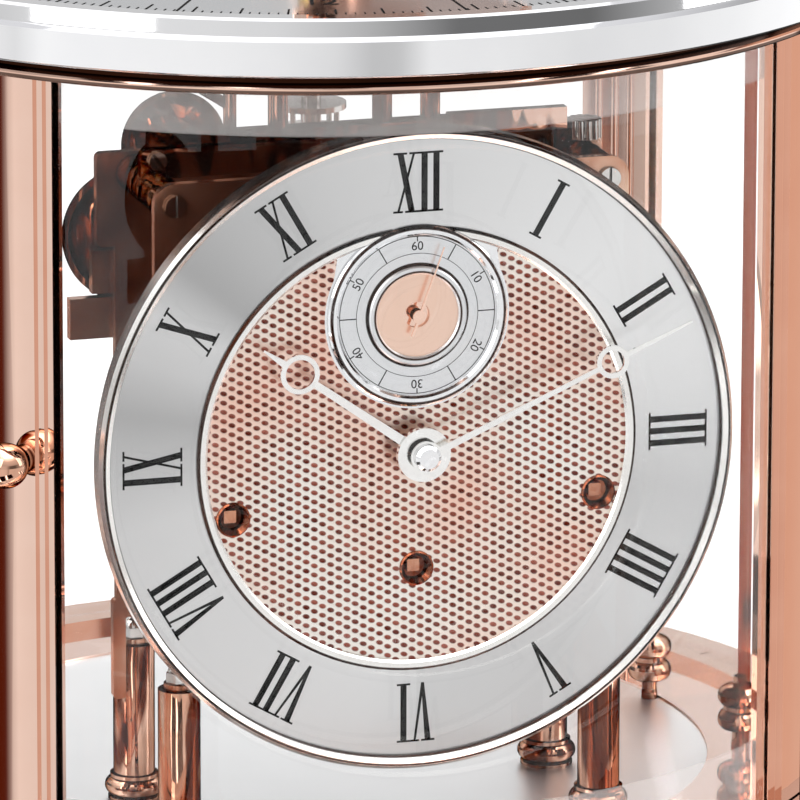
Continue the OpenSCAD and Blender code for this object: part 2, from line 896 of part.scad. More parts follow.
module motion_wheel() {
    color("goldenrod")
        at_dial(motion_stud_x, 0, 0)
            difference() {
                union() {
                    translate([0, 0, -motion_wheel_at])
                        gear(motion_teeth, cannon_module, wheel_t, motion_phase);
                    translate([0, 0, -motion_wheel_at])
                        gear(motion_leaves, hour_module, motion_wheel_at - hour_wheel_at + 1.5,
                            motion_phase);
                }
                translate([0, 0, -plate_at - cut])
                    cylinder(h = plate_at + cut, r = small_arbor_r + running_gap);
            }
}

module hour_wheel() {
    pipe_l = hour_wheel_at + wheel_t + hour_level;
    color("goldenrod")
        at_dial(0, 0, -hour_wheel_at - wheel_t)
            difference() {
                union() {
                    gear(hour_teeth, hour_module, wheel_t, hour_phase);
                    cylinder(h = pipe_l, r = pipe_r);
                }
                translate([0, 0, -cut])
                    cylinder(h = pipe_l + 2 * cut, r = arbor_r + running_gap);
            }
}

balance_x = 20;
balance_y = 34;
balance_r = 10;
staff_r = 0.6;
staff_l = 9;

// Platform on the back plate, with the cock that carries the balance staff
module balance_platform() {
    platform_t = 2;
    cock_w = 6;
    cock_z = platform_t + staff_l - 2;
    color("goldenrod")
        at_dial(balance_x, balance_y, -back_plate_back)
            mirror([0, 0, 1])
                difference() {
                    union() {
                        cylinder(h = platform_t, r = 14);
                        translate([0, 12.4, 0])
                            cylinder(h = cock_z, r = 2);
                        translate([-cock_w / 2, -3, cock_z])
                            cube([cock_w, 17.4, 2]);
                    }
                    translate([0, 0, platform_t / 2])
                        cylinder(h = cock_z + 4, r = staff_r + running_gap);
                }
}

module balance_wheel() {
    rim_w = 1.2;
    wheel_z = 5;
    color("gold")
        at_dial(balance_x, balance_y, -back_plate_back)
            mirror([0, 0, 1]) {
                translate([0, 0, 1.1])
                    cylinder(h = staff_l + 1.4, r = staff_r);
                ring(balance_r - rim_w, balance_r, wheel_z, wheel_z + 1.4);
                bar(-balance_r + 0.6, balance_r - 0.6, -0.8, 0.8, wheel_z + 0.2, wheel_z + 1.2);
                translate([0, 0, wheel_z - 0.8])
                    cylinder(h = 3, r = 2);
            }
}

bell_spot = [-53, 41];
small_bell_spot = [-38, 59];
bell_back = 5;
small_bell_back = 19;

// A bell seen as a thin bowl of a given radius, opening towards the back plate
module bell(r, stud_l) {
    wall = 1.4;
    rise = r * 0.6;
    rotate_extrude()
        polygon(concat(
            [for (a = [0:10:90]) [r * cos(a), rise * sin(a)]],
            [for (a = [90:-10:0]) [(r - wall) * cos(a), (rise - wall) * sin(a)]]));
    translate([0, 0, -stud_l])
        cylinder(h = stud_l + rise + 2, r = 1.5);
}

module chime_bells() {
    color("rosybrown") {
        at_dial(bell_spot[0], bell_spot[1], -back_plate_back - bell_back)
            mirror([0, 0, 1])
                bell(bell_r, bell_back);
        at_dial(small_bell_spot[0], small_bell_spot[1], -back_plate_back - small_bell_back)
            mirror([0, 0, 1])
                bell(small_bell_r, small_bell_back);
    }
}

// A hammer on a stud of the back plate: bore, arm and round head
module hammer(pivot, head, level) {
    dx = head[0] - pivot[0];
    dy = head[1] - pivot[1];
    reach = sqrt(dx ^ 2 + dy ^ 2);
    at_dial(pivot[0], pivot[1], -back_plate_back - level)
        rotate([0, 0, atan2(dy, dx)])
            difference() {
                union() {
                    cylinder(h = 3, r = 2.6);
                    bar(0, reach - 1, -0.8, 0.8, 0.8, 2.2);
                    translate([reach, 0, 0])
                        cylinder(h = 3, r = 3);
                }
                translate([0, 0, -cut])
                    cylinder(h = 3 + 2 * cut, r = hammer_stud_r + running_gap);
            }
}

hammer_stud_r = 1.2;
head_gap = 3.6;
strike_level = bell_back + head_gap;
chime_level = small_bell_back + head_gap;
strike_pivot = [-18, 25];
strike_head = bell_spot + (bell_r + head_gap) * [cos(-60), sin(-60)];
chime_pivot = [-6, 46];
chime_head = small_bell_spot + (small_bell_r + head_gap) * [cos(-60), sin(-60)];

module strike_hammer() {
    color("peru")
        hammer(strike_pivot, strike_head, strike_level);
}

module chime_hammer() {
    color("peru")
        hammer(chime_pivot, chime_head, chime_level);
}

post_r = 2.4;
post_x = [-19.8, 6.1, 18.1];
side_post_x = -31.7;
side_post_r = 1.6;
post_back = 50;
strip_from = -36;
strip_to = 23;
strip_z = plate_up + 2.5;
strip_t = 2.5;
right_bar_from = 19;
right_bar_y = plate_up + 3.5;
right_bar_h = 5.1;

// A flat lever between two points of the plane of the posts
module lever(from, to, w) {
    dx = to[0] - from[0];
    dy = to[1] - from[1];
    at_dial(from[0], from[1], -post_back - 1)
        rotate(atan2(dy, dx))
            round_plate(-w / 2, sqrt(dx ^ 2 + dy ^ 2) + w / 2, -w / 2, w / 2, w * 0.45, 1.6);
}

// Two bars on lugs round the upper pillars, a strip behind them and posts up to the roof
module drive_bracket() {
    bar_end = bar_lug_x - 2.5;
    nut_side = bar_lug_x - knurled_nut_r - 0.8;
    lug_low = pillar_top_y - 1.5;
    post_from = dial_z + strip_z;
    post_h = roof_top - roof_t - post_from;
    elbow = [-44.3, plate_up + 4.6];
    color("sienna") {
        difference() {
            at_dial(0, 0, top_bar_z) {
                bar(-bar_end, strip_from + 22, top_bar_y, left_lug_top, 0, top_bar_t);
                round_plate(-bar_lug_x - bar_lug_half, -bar_lug_x + bar_lug_half, lug_low, left_lug_top, 1.5,
                    top_bar_t);
                bar(right_bar_from, nut_side, right_bar_y, right_bar_y + right_bar_h, 0, top_bar_t);
                bar(nut_side - 3, nut_side, right_lug_top - 2, right_bar_y + 1, 0, top_bar_t);
                bar(nut_side - 3, bar_lug_x, right_lug_top - 2, right_lug_top, 0, top_bar_t);
                round_plate(bar_lug_x - bar_lug_half, bar_lug_x + bar_lug_half, lug_low, right_lug_top, 1.5,
                    top_bar_t);
            }
            for (x = [-pillar_x, pillar_x])
                at_dial(x, pillar_top_y, top_bar_z - cut)
                    cylinder(h = top_bar_t + 2 * cut, r = pillar_r + groove_gap);
        }
        translate([0, -dial_setback, dial_z + strip_z]) {
            bar(strip_from, strip_to, post_back - 3, post_back + 3, 0, strip_t);
            for (x = [strip_from + 14, strip_to - 4])
                bar(x, x + 4, top_bar_t / 2 - top_bar_z - top_bar_t, post_back, 0, strip_t - 0.4);
        }
        for (x = post_x)
            translate([x, post_back - dial_setback, post_from])
                cylinder(h = post_h, r = post_r);
        translate([side_post_x, post_back - dial_setback, post_from])
            cylinder(h = post_h, r = side_post_r);
        lever([strip_from + 2, strip_z + 1.2], elbow, 3);
        lever(elbow, [-48.5, plate_up + 13.5], 3);
        at_dial(elbow[0], elbow[1], -post_back - 1)
            cylinder(h = 4, r = 1.9);
        lever([side_post_x, plate_up + 11], [-41, plate_up + 17], 2.4);
    }
}

// Shaft that carries the orbit arm, with a lantern of two discs and six pins inside the case
module drive_shaft() {
    bottom = dial_z + bearing_top - bearing_t - 2;
    lantern_z = dial_z + bearing_top + 4.1;
    lantern_h = 6.5;
    color("silver") {
        translate([0, 0, bottom])
            cylinder(h = arm_z + arm_t + 1 - bottom, r = shaft_r);
        translate([0, 0, dial_z + bearing_top + apart])
            cylinder(h = lantern_z - dial_z - bearing_top, r = 4);
        for (z = [lantern_z, lantern_z + lantern_h])
            translate([0, 0, z])
                cylinder(h = 1.4, r = 8.6);
        for (a = [0:60:300])
            translate(concat(polar(6.4, a), [lantern_z]))
                cylinder(h = lantern_h + 1, r = 0.7);
    }
}

// Beaded turned spindle that stands on the floor ring
module spindle() {
    rotate_extrude()
        polygon(concat([[0, 0], [spindle_foot_r, 0], [spindle_foot_r, 1.2], [1.8, 2], [1.8, 4]],
            [for (a = [-70:20:70]) [3.2 + 2.3 * cos(a), 7 + 2.6 * sin(a)]],
            [for (a = [-70:20:70]) [3.2 + 2.3 * cos(a), 13 + 2.6 * sin(a)]],
            [[1.6, 16.4], [1.6, 18], [0, 18]]));
}

// Radius and direction of each spindle, and how far its foot goes down beside the floor ring
spindle_foot_r = 2;
spindle_spots = [[floor_hole_r - spindle_foot_r, 101.2, floor_top - mirror_top], [floor_r - 12.5, 74, 0]];

module floor_spindles() {
    color("rosybrown")
        for (p = spindle_spots)
            translate(concat(polar(p[0], p[1]), [floor_top])) {
                spindle();
                translate([0, 0, -p[2]])
                    cylinder(h = p[2] + 1, r = spindle_foot_r);
            }
}

module winder_holes(z0, h, r) {
    for (p = winder_spots)
        translate([p[0], p[1], z0])
            cylinder(h = h, r = r);
}

dial_foot_x = 46;
dial_foot_y = 40;

module dial_plate() {
    foot_l = plate_at - dial_back;
    color("rosybrown") {
        at_dial(0, 0, -dial_back)
            difference() {
                cylinder(h = dial_t, r = bezel_r - 1.2);
                translate([0, 0, -cut])
                    cylinder(h = dial_t + 2 * cut, r = pipe_r + apart);
                translate([0, seconds_up, -cut])
                    cylinder(h = dial_t + 2 * cut, r = seconds_arbor_r + 0.6);
                winder_holes(-cut, dial_t + 2 * cut, bush_r);
            }
        for (x = [-dial_foot_x, dial_foot_x], y = [-dial_foot_y, dial_foot_y])
            at_dial(x, y, -plate_at)
                cylinder(h = foot_l, r = 2);
    }
}

// Room for the rim of the seconds dial in the rings that it crosses
module seconds_room() {
    translate([0, seconds_up, -dial_back])
        cylinder(h = dial_back + 2 * cut, r = seconds_r + running_gap);
}

module chapter_ring() {
    color("silver")
        at_dial()
            difference() {
                ring(chapter_in_r, chapter_r, -chapter_t, 0);
                seconds_room();
            }
}

inlay_r = chapter_in_r - 2.5;
land_w = 0.6;
tip_x = 19.6;
tip_up = seconds_up + 14.4;

// Outline of the silver land: a circle round the seconds dial, widened above the guilloche's two tips
module land() {
    translate([0, seconds_up])
        circle(seconds_r + land_w);
    polygon([[-seconds_r + 0.4, seconds_up + 3], [-tip_x, tip_up], [-tip_x - 2, inlay_r], [tip_x + 2, inlay_r],
        [tip_x, tip_up], [seconds_r - 0.4, seconds_up + 3]]);
}

// Guilloche centre with the land of the seconds dial cut out of it, and the disc in the seconds dial
module copper_inlays() {
    inlay_t = 0.8;
    color("rosybrown")
        at_dial(0, 0, -chapter_t) {
            difference() {
                linear_extrude(inlay_t)
                    offset(r = 0.7)
                        offset(delta = -0.7)
                            difference() {
                                circle(inlay_r);
                                land();
                            }
                translate([0, 0, -cut])
                    cylinder(h = inlay_t + 2 * cut, r = pipe_r + apart);
                winder_holes(-cut, inlay_t + 2 * cut, bush_r);
            }
            translate([0, seconds_up, 0])
                ring(seconds_hole_r, seconds_disc_r, 0, inlay_t);
        }
}

// Stepped outer bezel and the bead ring between chapter ring and guilloche
module dial_bezel() {
    color("gainsboro")
        at_dial() {
            rotate_extrude()
                polygon([[chapter_r, -chapter_t], [bezel_r - 1.2, -chapter_t], [bezel_r - 1.2, -dial_back],
                    [bezel_r, -dial_back], [bezel_r, bezel_h * 0.5], [bezel_r - 0.8, bezel_h * 0.9],
                    [bezel_r - bezel_w * 0.5, bezel_h], [chapter_r + 0.4, bezel_h * 0.7],
                    [chapter_r, bezel_h * 0.3]]);
            difference() {
                rotate_extrude()
                    polygon([[inlay_r, -chapter_t], [chapter_in_r, -chapter_t], [chapter_in_r, 0.5],
                        [chapter_in_r - 0.6, 1], [inlay_r + 0.6, 1], [inlay_r, 0.5]]);
                seconds_room();
            }
        }
}

// Silver land behind the seconds dial and its raised rims
module seconds_dial() {
    base_t = 0.9;
    track_in_r = seconds_disc_r + 2.1;
    color("gainsboro")
        at_dial(0, 0, -chapter_t) {
            difference() {
                linear_extrude(base_t)
                    intersection() {
                        circle(inlay_r);
                        land();
                    }
                translate([0, seconds_up, -cut])
                    cylinder(h = base_t + 2 * cut, r = seconds_disc_r);
            }
            translate([0, seconds_up, 0]) {
                rotate_extrude()
                    polygon([[seconds_r - 2.6, base_t], [seconds_r, base_t], [seconds_r, 1.6],
                        [seconds_r - 0.8, 2.2], [seconds_r - 2, 2.2], [seconds_r - 2.6, 1.6]]);
                rotate_extrude()
                    polygon([[seconds_disc_r, 0], [track_in_r, 0], [track_in_r, 1.5],
                        [track_in_r - 0.5, 1.9], [seconds_disc_r + 0.4, 1.9], [seconds_disc_r, 1.5]]);
            }
        }
}

module winding_bushes() {
    bush_hole_r = winder_r + 0.6;
    color("saddlebrown")
        for (p = winder_spots)
            at_dial(p[0], p[1], 0)
                rotate_extrude()
                    polygon([[bush_hole_r, -dial_back], [bush_r, -dial_back], [bush_r, -0.2],
                        [bush_r - 0.4, 0.2], [bush_hole_r + 0.5, -0.4], [bush_hole_r, -1]]);
}

// From the middle of a hand's ring to its tip
minute_tip_l = 21.4;
hour_tip_l = 10.9;

// An open-ring hand pointing along +x in its own plane
module open_hand(length, hub_r, ring_at, ring_out, ring_in, w0, w1, bore) {
    difference() {
        union() {
            cylinder(h = hand_t, r = hub_r);
            linear_extrude(hand_t)
                polygon([[0, -w0 / 2], [ring_at, -w1 / 2], [ring_at, w1 / 2], [0, w0 / 2]]);
            translate([ring_at, 0, 0])
                cylinder(h = hand_t, r = ring_out);
            linear_extrude(hand_t)
                polygon([[ring_at + ring_in, -w1 * 0.6], [length, -0.2], [length, 0.2],
                    [ring_at + ring_in, w1 * 0.6]]);
        }
        translate([ring_at, 0, -cut])
            cylinder(h = hand_t + 2 * cut, r = ring_in);
        translate([0, 0, -cut])
            cylinder(h = hand_t + 2 * cut, r = bore);
    }
}

module hour_hand() {
    hub_r = 6.5;
    color("whitesmoke")
        at_dial(0, 0, hour_level)
            rotate([0, 0, 90 - hour_at]) {
                open_hand(hour_l, 4, hour_l - hour_tip_l, 4.75, 3.55, 2.4, 1.6, arbor_r + apart);
                ring(arbor_r + apart, hub_r, 0, hub_t);
            }
}

module minute_hand() {
    color("whitesmoke")
        at_dial(0, 0, minute_level)
            rotate([0, 0, 90 - minute_at])
                open_hand(minute_l, 3.8, minute_l - minute_tip_l, 4, 2.8, 1.7, 1.1, tip_r);
}

module seconds_hand() {
    tail = 5;
    color("whitesmoke") {
        at_dial(0, seconds_up, -front_plate_back)
            cylinder(h = front_plate_back + second_level, r = seconds_arbor_r);
        at_dial(0, seconds_up, second_level - 0.5)
            rotate([0, 0, 90 - second_at]) {
                cylinder(h = 0.5, r = 1.6);
                linear_extrude(0.5)
                    polygon([[-tail, -0.35], [second_l, -0.12], [second_l, 0.12], [-tail, 0.35]]);
            }
    }
}

module hand_nut() {
    nut_h = nut_top - minute_level - hand_t;
    color("gainsboro")
        at_dial(0, 0, minute_level + hand_t)
            difference() {
                rotate_extrude()
                    polygon([[0, 0], [3.1, 0], [3.1, nut_h - 0.6], [2.4, nut_h], [0, nut_h]]);
                translate([0, 0, -cut])
                    cylinder(h = nut_h - 0.8 + cut, r = tip_r);
            }
}

// Flanged tube round the drive shaft, with the fixed sun wheel on it
module sun_column() {
    flange_h = 3;
    tube_r = 6;
    color("rosybrown")
        translate([0, 0, calendar_top])
            difference() {
                union() {
                    cylinder(h = flange_h, r = 15);
                    cylinder(h = wheel_up + orbit_wheel_t + 1.5, r = tube_r);
                    translate([0, 0, wheel_up])
                        gear(sun_teeth, orbit_module, orbit_wheel_t, sun_phase);
                }
                translate([0, 0, -cut])
                    cylinder(h = wheel_up + orbit_wheel_t + 2 * cut + 1.5, r = shaft_r + running_gap);
            }
}

arm_bearing = arm_at - 90;
sun_phase = arm_bearing;
idler_phase = mesh_phase(sun_teeth, sun_phase, arm_bearing, idler_teeth);
earth_phase = mesh_phase(idler_teeth, idler_phase, arm_bearing, sun_teeth);
idler_at = orbit_module * (sun_teeth + idler_teeth) / 2;
sun_z = calendar_top + globe_up;

module sun() {
    stem_z = arm_z + arm_t + 1;
    color("gold") {
        translate([0, 0, stem_z])
            cylinder(h = sun_z - stem_z - sun_r + 1, r = shaft_r + 0.5);
        translate([0, 0, sun_z])
            sphere(sun_r);
    }
}

// Arm on the drive shaft: hub, bar to the earth, stud for the idler and a counterweight
module orbit_arm() {
    half_w = 5;
    tail = 40;
    weight_r = 9;
    color("rosybrown")
        rotate([0, 0, arm_at])
            translate([0, 0, arm_z])
                difference() {
                    union() {
                        cylinder(h = arm_t, r = 11);
                        bar(-half_w, half_w, -orbit_r, tail, 0, arm_t);
                        translate([0, -orbit_r, 0])
                            cylinder(h = arm_t, r = 9);
                        translate([0, tail, -2])
                            cylinder(h = arm_t + 4, r = weight_r);
                        translate([0, -idler_at, wheel_up - arm_up - 1.3])
                            cylinder(h = arm_up - wheel_up + 2, r = idler_stud_r);
                        translate([0, -idler_at, wheel_up - arm_up - 1.3])
                            cylinder(h = 1, r = idler_stud_r + 1.4);
                        translate([0, -idler_at, wheel_up - arm_up + orbit_wheel_t + apart])
                            cylinder(h = 3, r = idler_stud_r + 2);
                    }
                    translate([0, 0, -cut])
                        cylinder(h = arm_t + 2 * cut, r = shaft_r);
                    translate([0, -orbit_r, -cut])
                        cylinder(h = arm_t + 2 * cut, r = sleeve_r + running_gap);
                }
}

idler_stud_r = 2;

module idler_wheel() {
    color("goldenrod")
        rotate([0, 0, arm_at])
            translate([0, -idler_at, calendar_top + wheel_up])
                difference() {
                    rotate([0, 0, -arm_at])
                        gear(idler_teeth, orbit_module, orbit_wheel_t, idler_phase);
                    translate([0, 0, -cut])
                        cylinder(h = orbit_wheel_t + 2 * cut, r = idler_stud_r + running_gap);
                }
}

globe_z = calendar_top + globe_up;
pin_r = 1;
collar_up = 3;
bracket_t = 2.5;
bracket_w = 5;
pin_below = (globe_z - carrier_top + bracket_t / 2) / cos(earth_tilt);
bracket_l = pin_below * sin(earth_tilt) + 3;

// Wheel and sleeve in the arm's end, with a bracket that holds the tilted pin under the globe
module earth_carrier() {
    low = calendar_top + wheel_up;
    color("rosybrown")
        translate(concat(polar(orbit_r, arm_at), [0])) {
            translate([0, 0, low])
                gear(sun_teeth, orbit_module, orbit_wheel_t, earth_phase);
            translate([0, 0, low])
                cylinder(h = carrier_top - low, r = sleeve_r);
            translate([0, 0, arm_z + arm_t + apart])
                cylinder(h = collar_up - 2 * apart, r = sleeve_r + 1.6);
            translate([0, 0, globe_z])
                rotate([0, earth_tilt, 0]) {
                    translate([0, 0, -pin_below])
                        cylinder(h = pin_below + globe_r + 3, r = pin_r);
                    translate([0, 0, -pin_below])
                        cylinder(h = pin_below - globe_r - apart, r = 2);
                    translate([0, 0, globe_r + apart])
                        cylinder(h = 2.4, r = 1.8);
                }
            translate([-bracket_l, -bracket_w / 2, carrier_top - bracket_t])
                cube([bracket_l, bracket_w, bracket_t]);
        }
}

module globe() {
    color("steelblue")
        translate(concat(polar(orbit_r, arm_at), [globe_z]))
            rotate([0, earth_tilt, 0])
                difference() {
                    sphere(globe_r);
                    translate([0, 0, -globe_r - cut])
                        cylinder(h = 2 * (globe_r + cut), r = pin_r + running_gap);
                }
}

moon_collar_r = 7;
moon_collar_h = 3;

// Collar on the carrier's sleeve, bent wire and moon
module moon() {
    collar_z = arm_z + arm_t + collar_up;
    color("whitesmoke")
        translate(concat(polar(orbit_r, arm_at), [0])) {
            difference() {
                union() {
                    translate([0, 0, collar_z])
                        cylinder(h = moon_collar_h, r = moon_collar_r);
                    translate([0, 0, collar_z + moon_collar_h / 2])
                        rotate([0, -90, 0])
                            cylinder(h = moon_at, r = 0.9);
                }
                translate([0, 0, collar_z - cut])
                    cylinder(h = moon_collar_h + 2 * cut, r = sleeve_r + running_gap);
            }
            translate([-moon_at, 0, collar_z + moon_collar_h / 2])
                cylinder(h = globe_z - collar_z - moon_collar_h / 2, r = 0.9);
            translate([-moon_at, 0, globe_z])
                sphere(moon_r);
        }
}

feet();
base_plate();
base_ring();
base_moulding();
floor_ring();
floor_mirror();
case_posts();
case_glasses();
top_moulding();
top_ring();
calendar_plate();
door_stile_left();
door_stile_right();
door_glass();
door_strips();
door_knob();
hinge_pins();
front_plate();
back_plate();
plate_pillars();
plate_screws();
seat_rails();
support_columns();
column_collars();
time_barrel();
strike_barrel();
chime_barrel();
winding_arbor_left();
winding_arbor_centre();
winding_arbor_right();
intermediate_wheel();
minute_arbor();
motion_wheel();
hour_wheel();
balance_platform();
balance_wheel();
chime_bells();
strike_hammer();
chime_hammer();
drive_bracket();
drive_shaft();
floor_spindles();
dial_plate();
chapter_ring();
copper_inlays();
dial_bezel();
seconds_dial();
winding_bushes();
hour_hand();
minute_hand();
seconds_hand();
hand_nut();
sun_column();
sun();
orbit_arm();
idler_wheel();
earth_carrier();
globe();
moon();
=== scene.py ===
import bpy, bmesh, math
from mathutils import Matrix, Vector


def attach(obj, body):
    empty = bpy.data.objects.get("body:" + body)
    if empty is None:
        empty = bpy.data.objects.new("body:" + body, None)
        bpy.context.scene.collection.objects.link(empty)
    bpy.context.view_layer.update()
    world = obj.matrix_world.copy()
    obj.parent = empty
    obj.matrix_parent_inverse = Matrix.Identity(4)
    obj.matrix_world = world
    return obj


# Tellurium clock. The frame's solids keep their shapes and get their finishes here; print and engraving,
# which have no thickness worth a solid, are added as pieces. In metres: +Z is up and the dial faces -Y.
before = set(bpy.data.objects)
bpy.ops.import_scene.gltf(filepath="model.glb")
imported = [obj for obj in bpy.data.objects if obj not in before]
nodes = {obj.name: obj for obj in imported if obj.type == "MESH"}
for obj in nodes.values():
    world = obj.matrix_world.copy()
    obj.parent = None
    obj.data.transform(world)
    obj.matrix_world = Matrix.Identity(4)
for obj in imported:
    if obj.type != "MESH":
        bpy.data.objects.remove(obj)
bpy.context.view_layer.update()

# Camera
# The photograph is taken with a long lens, from a little to the left of the dial and above it, so that
# only the middle of the clock is in the frame.
scene = bpy.context.scene
scene.view_settings.view_transform = "Standard"
camera = bpy.data.objects.new("Camera", bpy.data.cameras.new("Camera"))
scene.collection.objects.link(camera)
scene.camera = camera
camera.data.lens = 419.94
camera.data.sensor_width = 36.0
camera.data.clip_start = 0.1
camera.data.clip_end = 30.0
across = Vector((0.957906, -0.287070, 0.002490))
upward = Vector((0.070084, 0.242253, 0.967679))
standpoint = Matrix.Translation((-0.615535, -2.124940, 0.695938))
camera.matrix_world = standpoint @ Matrix((across, upward, across.cross(upward))).transposed().to_4x4()


# Room
# White paper and soft boxes stand all round the clock. Polished metal sees them as bands of pale grey with
# dark gaps between, a brown one at each side and the unlit back of the room.
class Nodes:
    """Short ways to add and join the nodes of one tree."""
    def __init__(self, tree):
        self.tree, self.links = tree, tree.links

    def add(self, kind, inputs=None, **settings):
        node = self.tree.nodes.new(kind)
        for name, value in settings.items():
            setattr(node, name, value)
        for name, value in (inputs or {}).items():
            self.set(node.inputs[name], value)
        return node

    def set(self, socket, value):
        if isinstance(value, bpy.types.NodeSocket):
            self.links.new(value, socket)
        else:
            socket.default_value = value

    def math(self, operation, a, b=0.0, c=0.0):
        return self.add("ShaderNodeMath", {0: a, 1: b, 2: c}, operation=operation).outputs[0]

    def ramp(self, factor, *stops):
        node = self.add("ShaderNodeValToRGB", {"Fac": factor})
        while len(node.color_ramp.elements) < len(stops):
            node.color_ramp.elements.new(0.5)
        for element, (place, colour) in zip(node.color_ramp.elements, stops):
            element.position, element.color = place, (*colour, 1.0)
        return node.outputs["Color"]

    def span(self, value, start, end):
        """0 to 1 as the value goes from start to end."""
        return self.add("ShaderNodeMapRange", {"Value": value, 1: start, 2: end}).outputs[0]

    def mix(self, factor, low, high):
        """Colour that goes from low to high with the factor."""
        return self.add("ShaderNodeMix", {0: factor, 6: low, 7: high}, data_type="RGBA").outputs[2]


def grey(level):
    return (level, level, level)


world = bpy.data.worlds.new("Studio")
scene.world = world
world.use_nodes = True
world.node_tree.nodes.clear()
n = Nodes(world.node_tree)
way = n.add("ShaderNodeSeparateXYZ", {"Vector": n.add("ShaderNodeTexCoord").outputs["Generated"]}).outputs
turn = n.math("ARCTAN2", way["X"], n.math("MULTIPLY", way["Y"], -1.0))
compass = n.math("MULTIPLY_ADD", turn, 0.5 / math.pi, 0.5)


def round_the_room(*stops):
    """Colours by direction, given in degrees from the front towards the right."""
    return n.ramp(compass, *[((degrees % 360 + 180) % 360 / 360, colour) for degrees, colour in stops])


def raised(low, high):
    """0 below one height on the sky's unit sphere and 1 above another."""
    return n.span(way["Z"], low, high)


brown_gap = (0.10, 0.016, 0.006)
below_level = round_the_room(
    (-179.9, grey(0.05)), (-162, grey(0.06)), (-150, grey(0.72)), (-112, grey(0.62)), (-98, grey(0.5)),
    (-92, brown_gap), (-85, brown_gap), (-84.2, grey(0.98)), (-76, grey(0.84)), (-70, grey(1.05)),
    (-40, grey(0.98)), (-23, grey(0.92)), (-11, grey(0.80)), (-4, grey(0.60)), (1, grey(0.62)),
    (7, grey(0.93)), (20, grey(0.92)), (37, grey(0.84)), (58, grey(0.90)), (103, grey(1.2)),
    (105, (0.10, 0.02, 0.01)), (107.5, (0.16, 0.05, 0.025)), (109, (0.78, 0.50, 0.38)),
    (124, (0.80, 0.56, 0.45)), (131, grey(0.06)), (179.9, grey(0.05)))
at_level = round_the_room(
    (-179.9, grey(0.04)), (-100, grey(0.04)), (-88, grey(0.6)), (-60, grey(0.87)), (-22, grey(0.77)),
    (-8, grey(0.55)), (12, grey(0.18)), (40, grey(0.16)), (62, grey(0.5)), (92, grey(0.85)),
    (104, grey(0.05)), (179.9, grey(0.04)))
overhead = n.ramp(way["Z"], (0.16, grey(0.6)), (0.30, grey(0.75)), (0.55, grey(0.98)), (0.80, grey(2.6)),
                  (1.0, grey(3.0)))
lower_half = n.mix(raised(-0.12, -0.08), below_level, at_level)
in_metal = n.add("ShaderNodeBackground", {"Color": n.mix(raised(0.15, 0.20), lower_half, overhead)})
ambient = n.add("ShaderNodeBackground", {"Color": (1.0, 1.0, 1.0, 1.0), "Strength": 0.62})
backdrop = n.add("ShaderNodeBackground", {"Color": (1.0, 1.0, 1.0, 1.0), "Strength": 1.0})
path = n.add("ShaderNodeLightPath").outputs
lighting = n.add("ShaderNodeMixShader", {0: path["Is Glossy Ray"], 1: ambient.outputs[0],
                                         2: in_metal.outputs[0]})
in_view = n.math("MAXIMUM", path["Is Camera Ray"], path["Is Transmission Ray"])
room = n.add("ShaderNodeMixShader", {0: in_view, 1: lighting.outputs[0], 2: backdrop.outputs[0]})
n.add("ShaderNodeOutputWorld", {"Surface": room.outputs[0]})


# Floor, lamps and cards
# The clock stands on a plain white sweep under three soft boxes. Narrow black and white cards lie on the
# table before it, and are seen only as streaks in polished metal, most of all in the turned columns.
def new_material(name):
    material = bpy.data.materials.new(name)
    material.use_nodes = True
    material.node_tree.nodes.clear()
    return material, Nodes(material.node_tree)


def link_mesh(name, bm, *materials):
    """Makes an object of a bmesh, with its faces turned outwards."""
    bmesh.ops.recalc_face_normals(bm, faces=bm.faces)
    mesh = bpy.data.meshes.new(name)
    bm.to_mesh(mesh)
    bm.free()
    for material in materials:
        mesh.materials.append(material)
    piece = bpy.data.objects.new(name, mesh)
    scene.collection.objects.link(piece)
    return piece


floor_white, n = new_material("white_sweep")
path = n.add("ShaderNodeLightPath").outputs
in_view = n.math("MAXIMUM", path["Is Camera Ray"], path["Is Transmission Ray"])
matt = n.add("ShaderNodeBsdfDiffuse", {"Color": (0.86, 0.86, 0.86, 1.0)})
glow = n.add("ShaderNodeEmission", {"Strength": n.math("MULTIPLY", in_view, 0.32)})
both = n.add("ShaderNodeAddShader", {0: matt.outputs[0], 1: glow.outputs[0]})
n.add("ShaderNodeOutputMaterial", {"Surface": both.outputs[0]})
bm = bmesh.new()
bmesh.ops.create_circle(bm, cap_ends=True, segments=96, radius=6.0)
sweep = link_mesh("floor", bm, floor_white)
sweep.visible_glossy = False


def soft_box(name, place, aim, width, height, power):
    lamp = bpy.data.lights.new(name, "AREA")
    lamp.shape, lamp.size, lamp.size_y, lamp.energy = "RECTANGLE", width, height, power
    holder = bpy.data.objects.new(name, lamp)
    towards = (Vector(aim) - Vector(place)).to_track_quat("-Z", "Y").to_matrix().to_4x4()
    holder.matrix_world = Matrix.Translation(place) @ towards
    scene.collection.objects.link(holder)


soft_box("overhead", (0.0, -0.2, 1.7), (0.0, -0.02, 0.15), 1.8, 1.8, 22.0)
soft_box("left_box", (-1.6, -1.0, 0.9), (0.0, 0.0, 0.14), 0.9, 1.3, 9.0)
soft_box("right_box", (1.7, -0.7, 0.8), (0.0, 0.0, 0.14), 0.6, 1.3, 6.0)

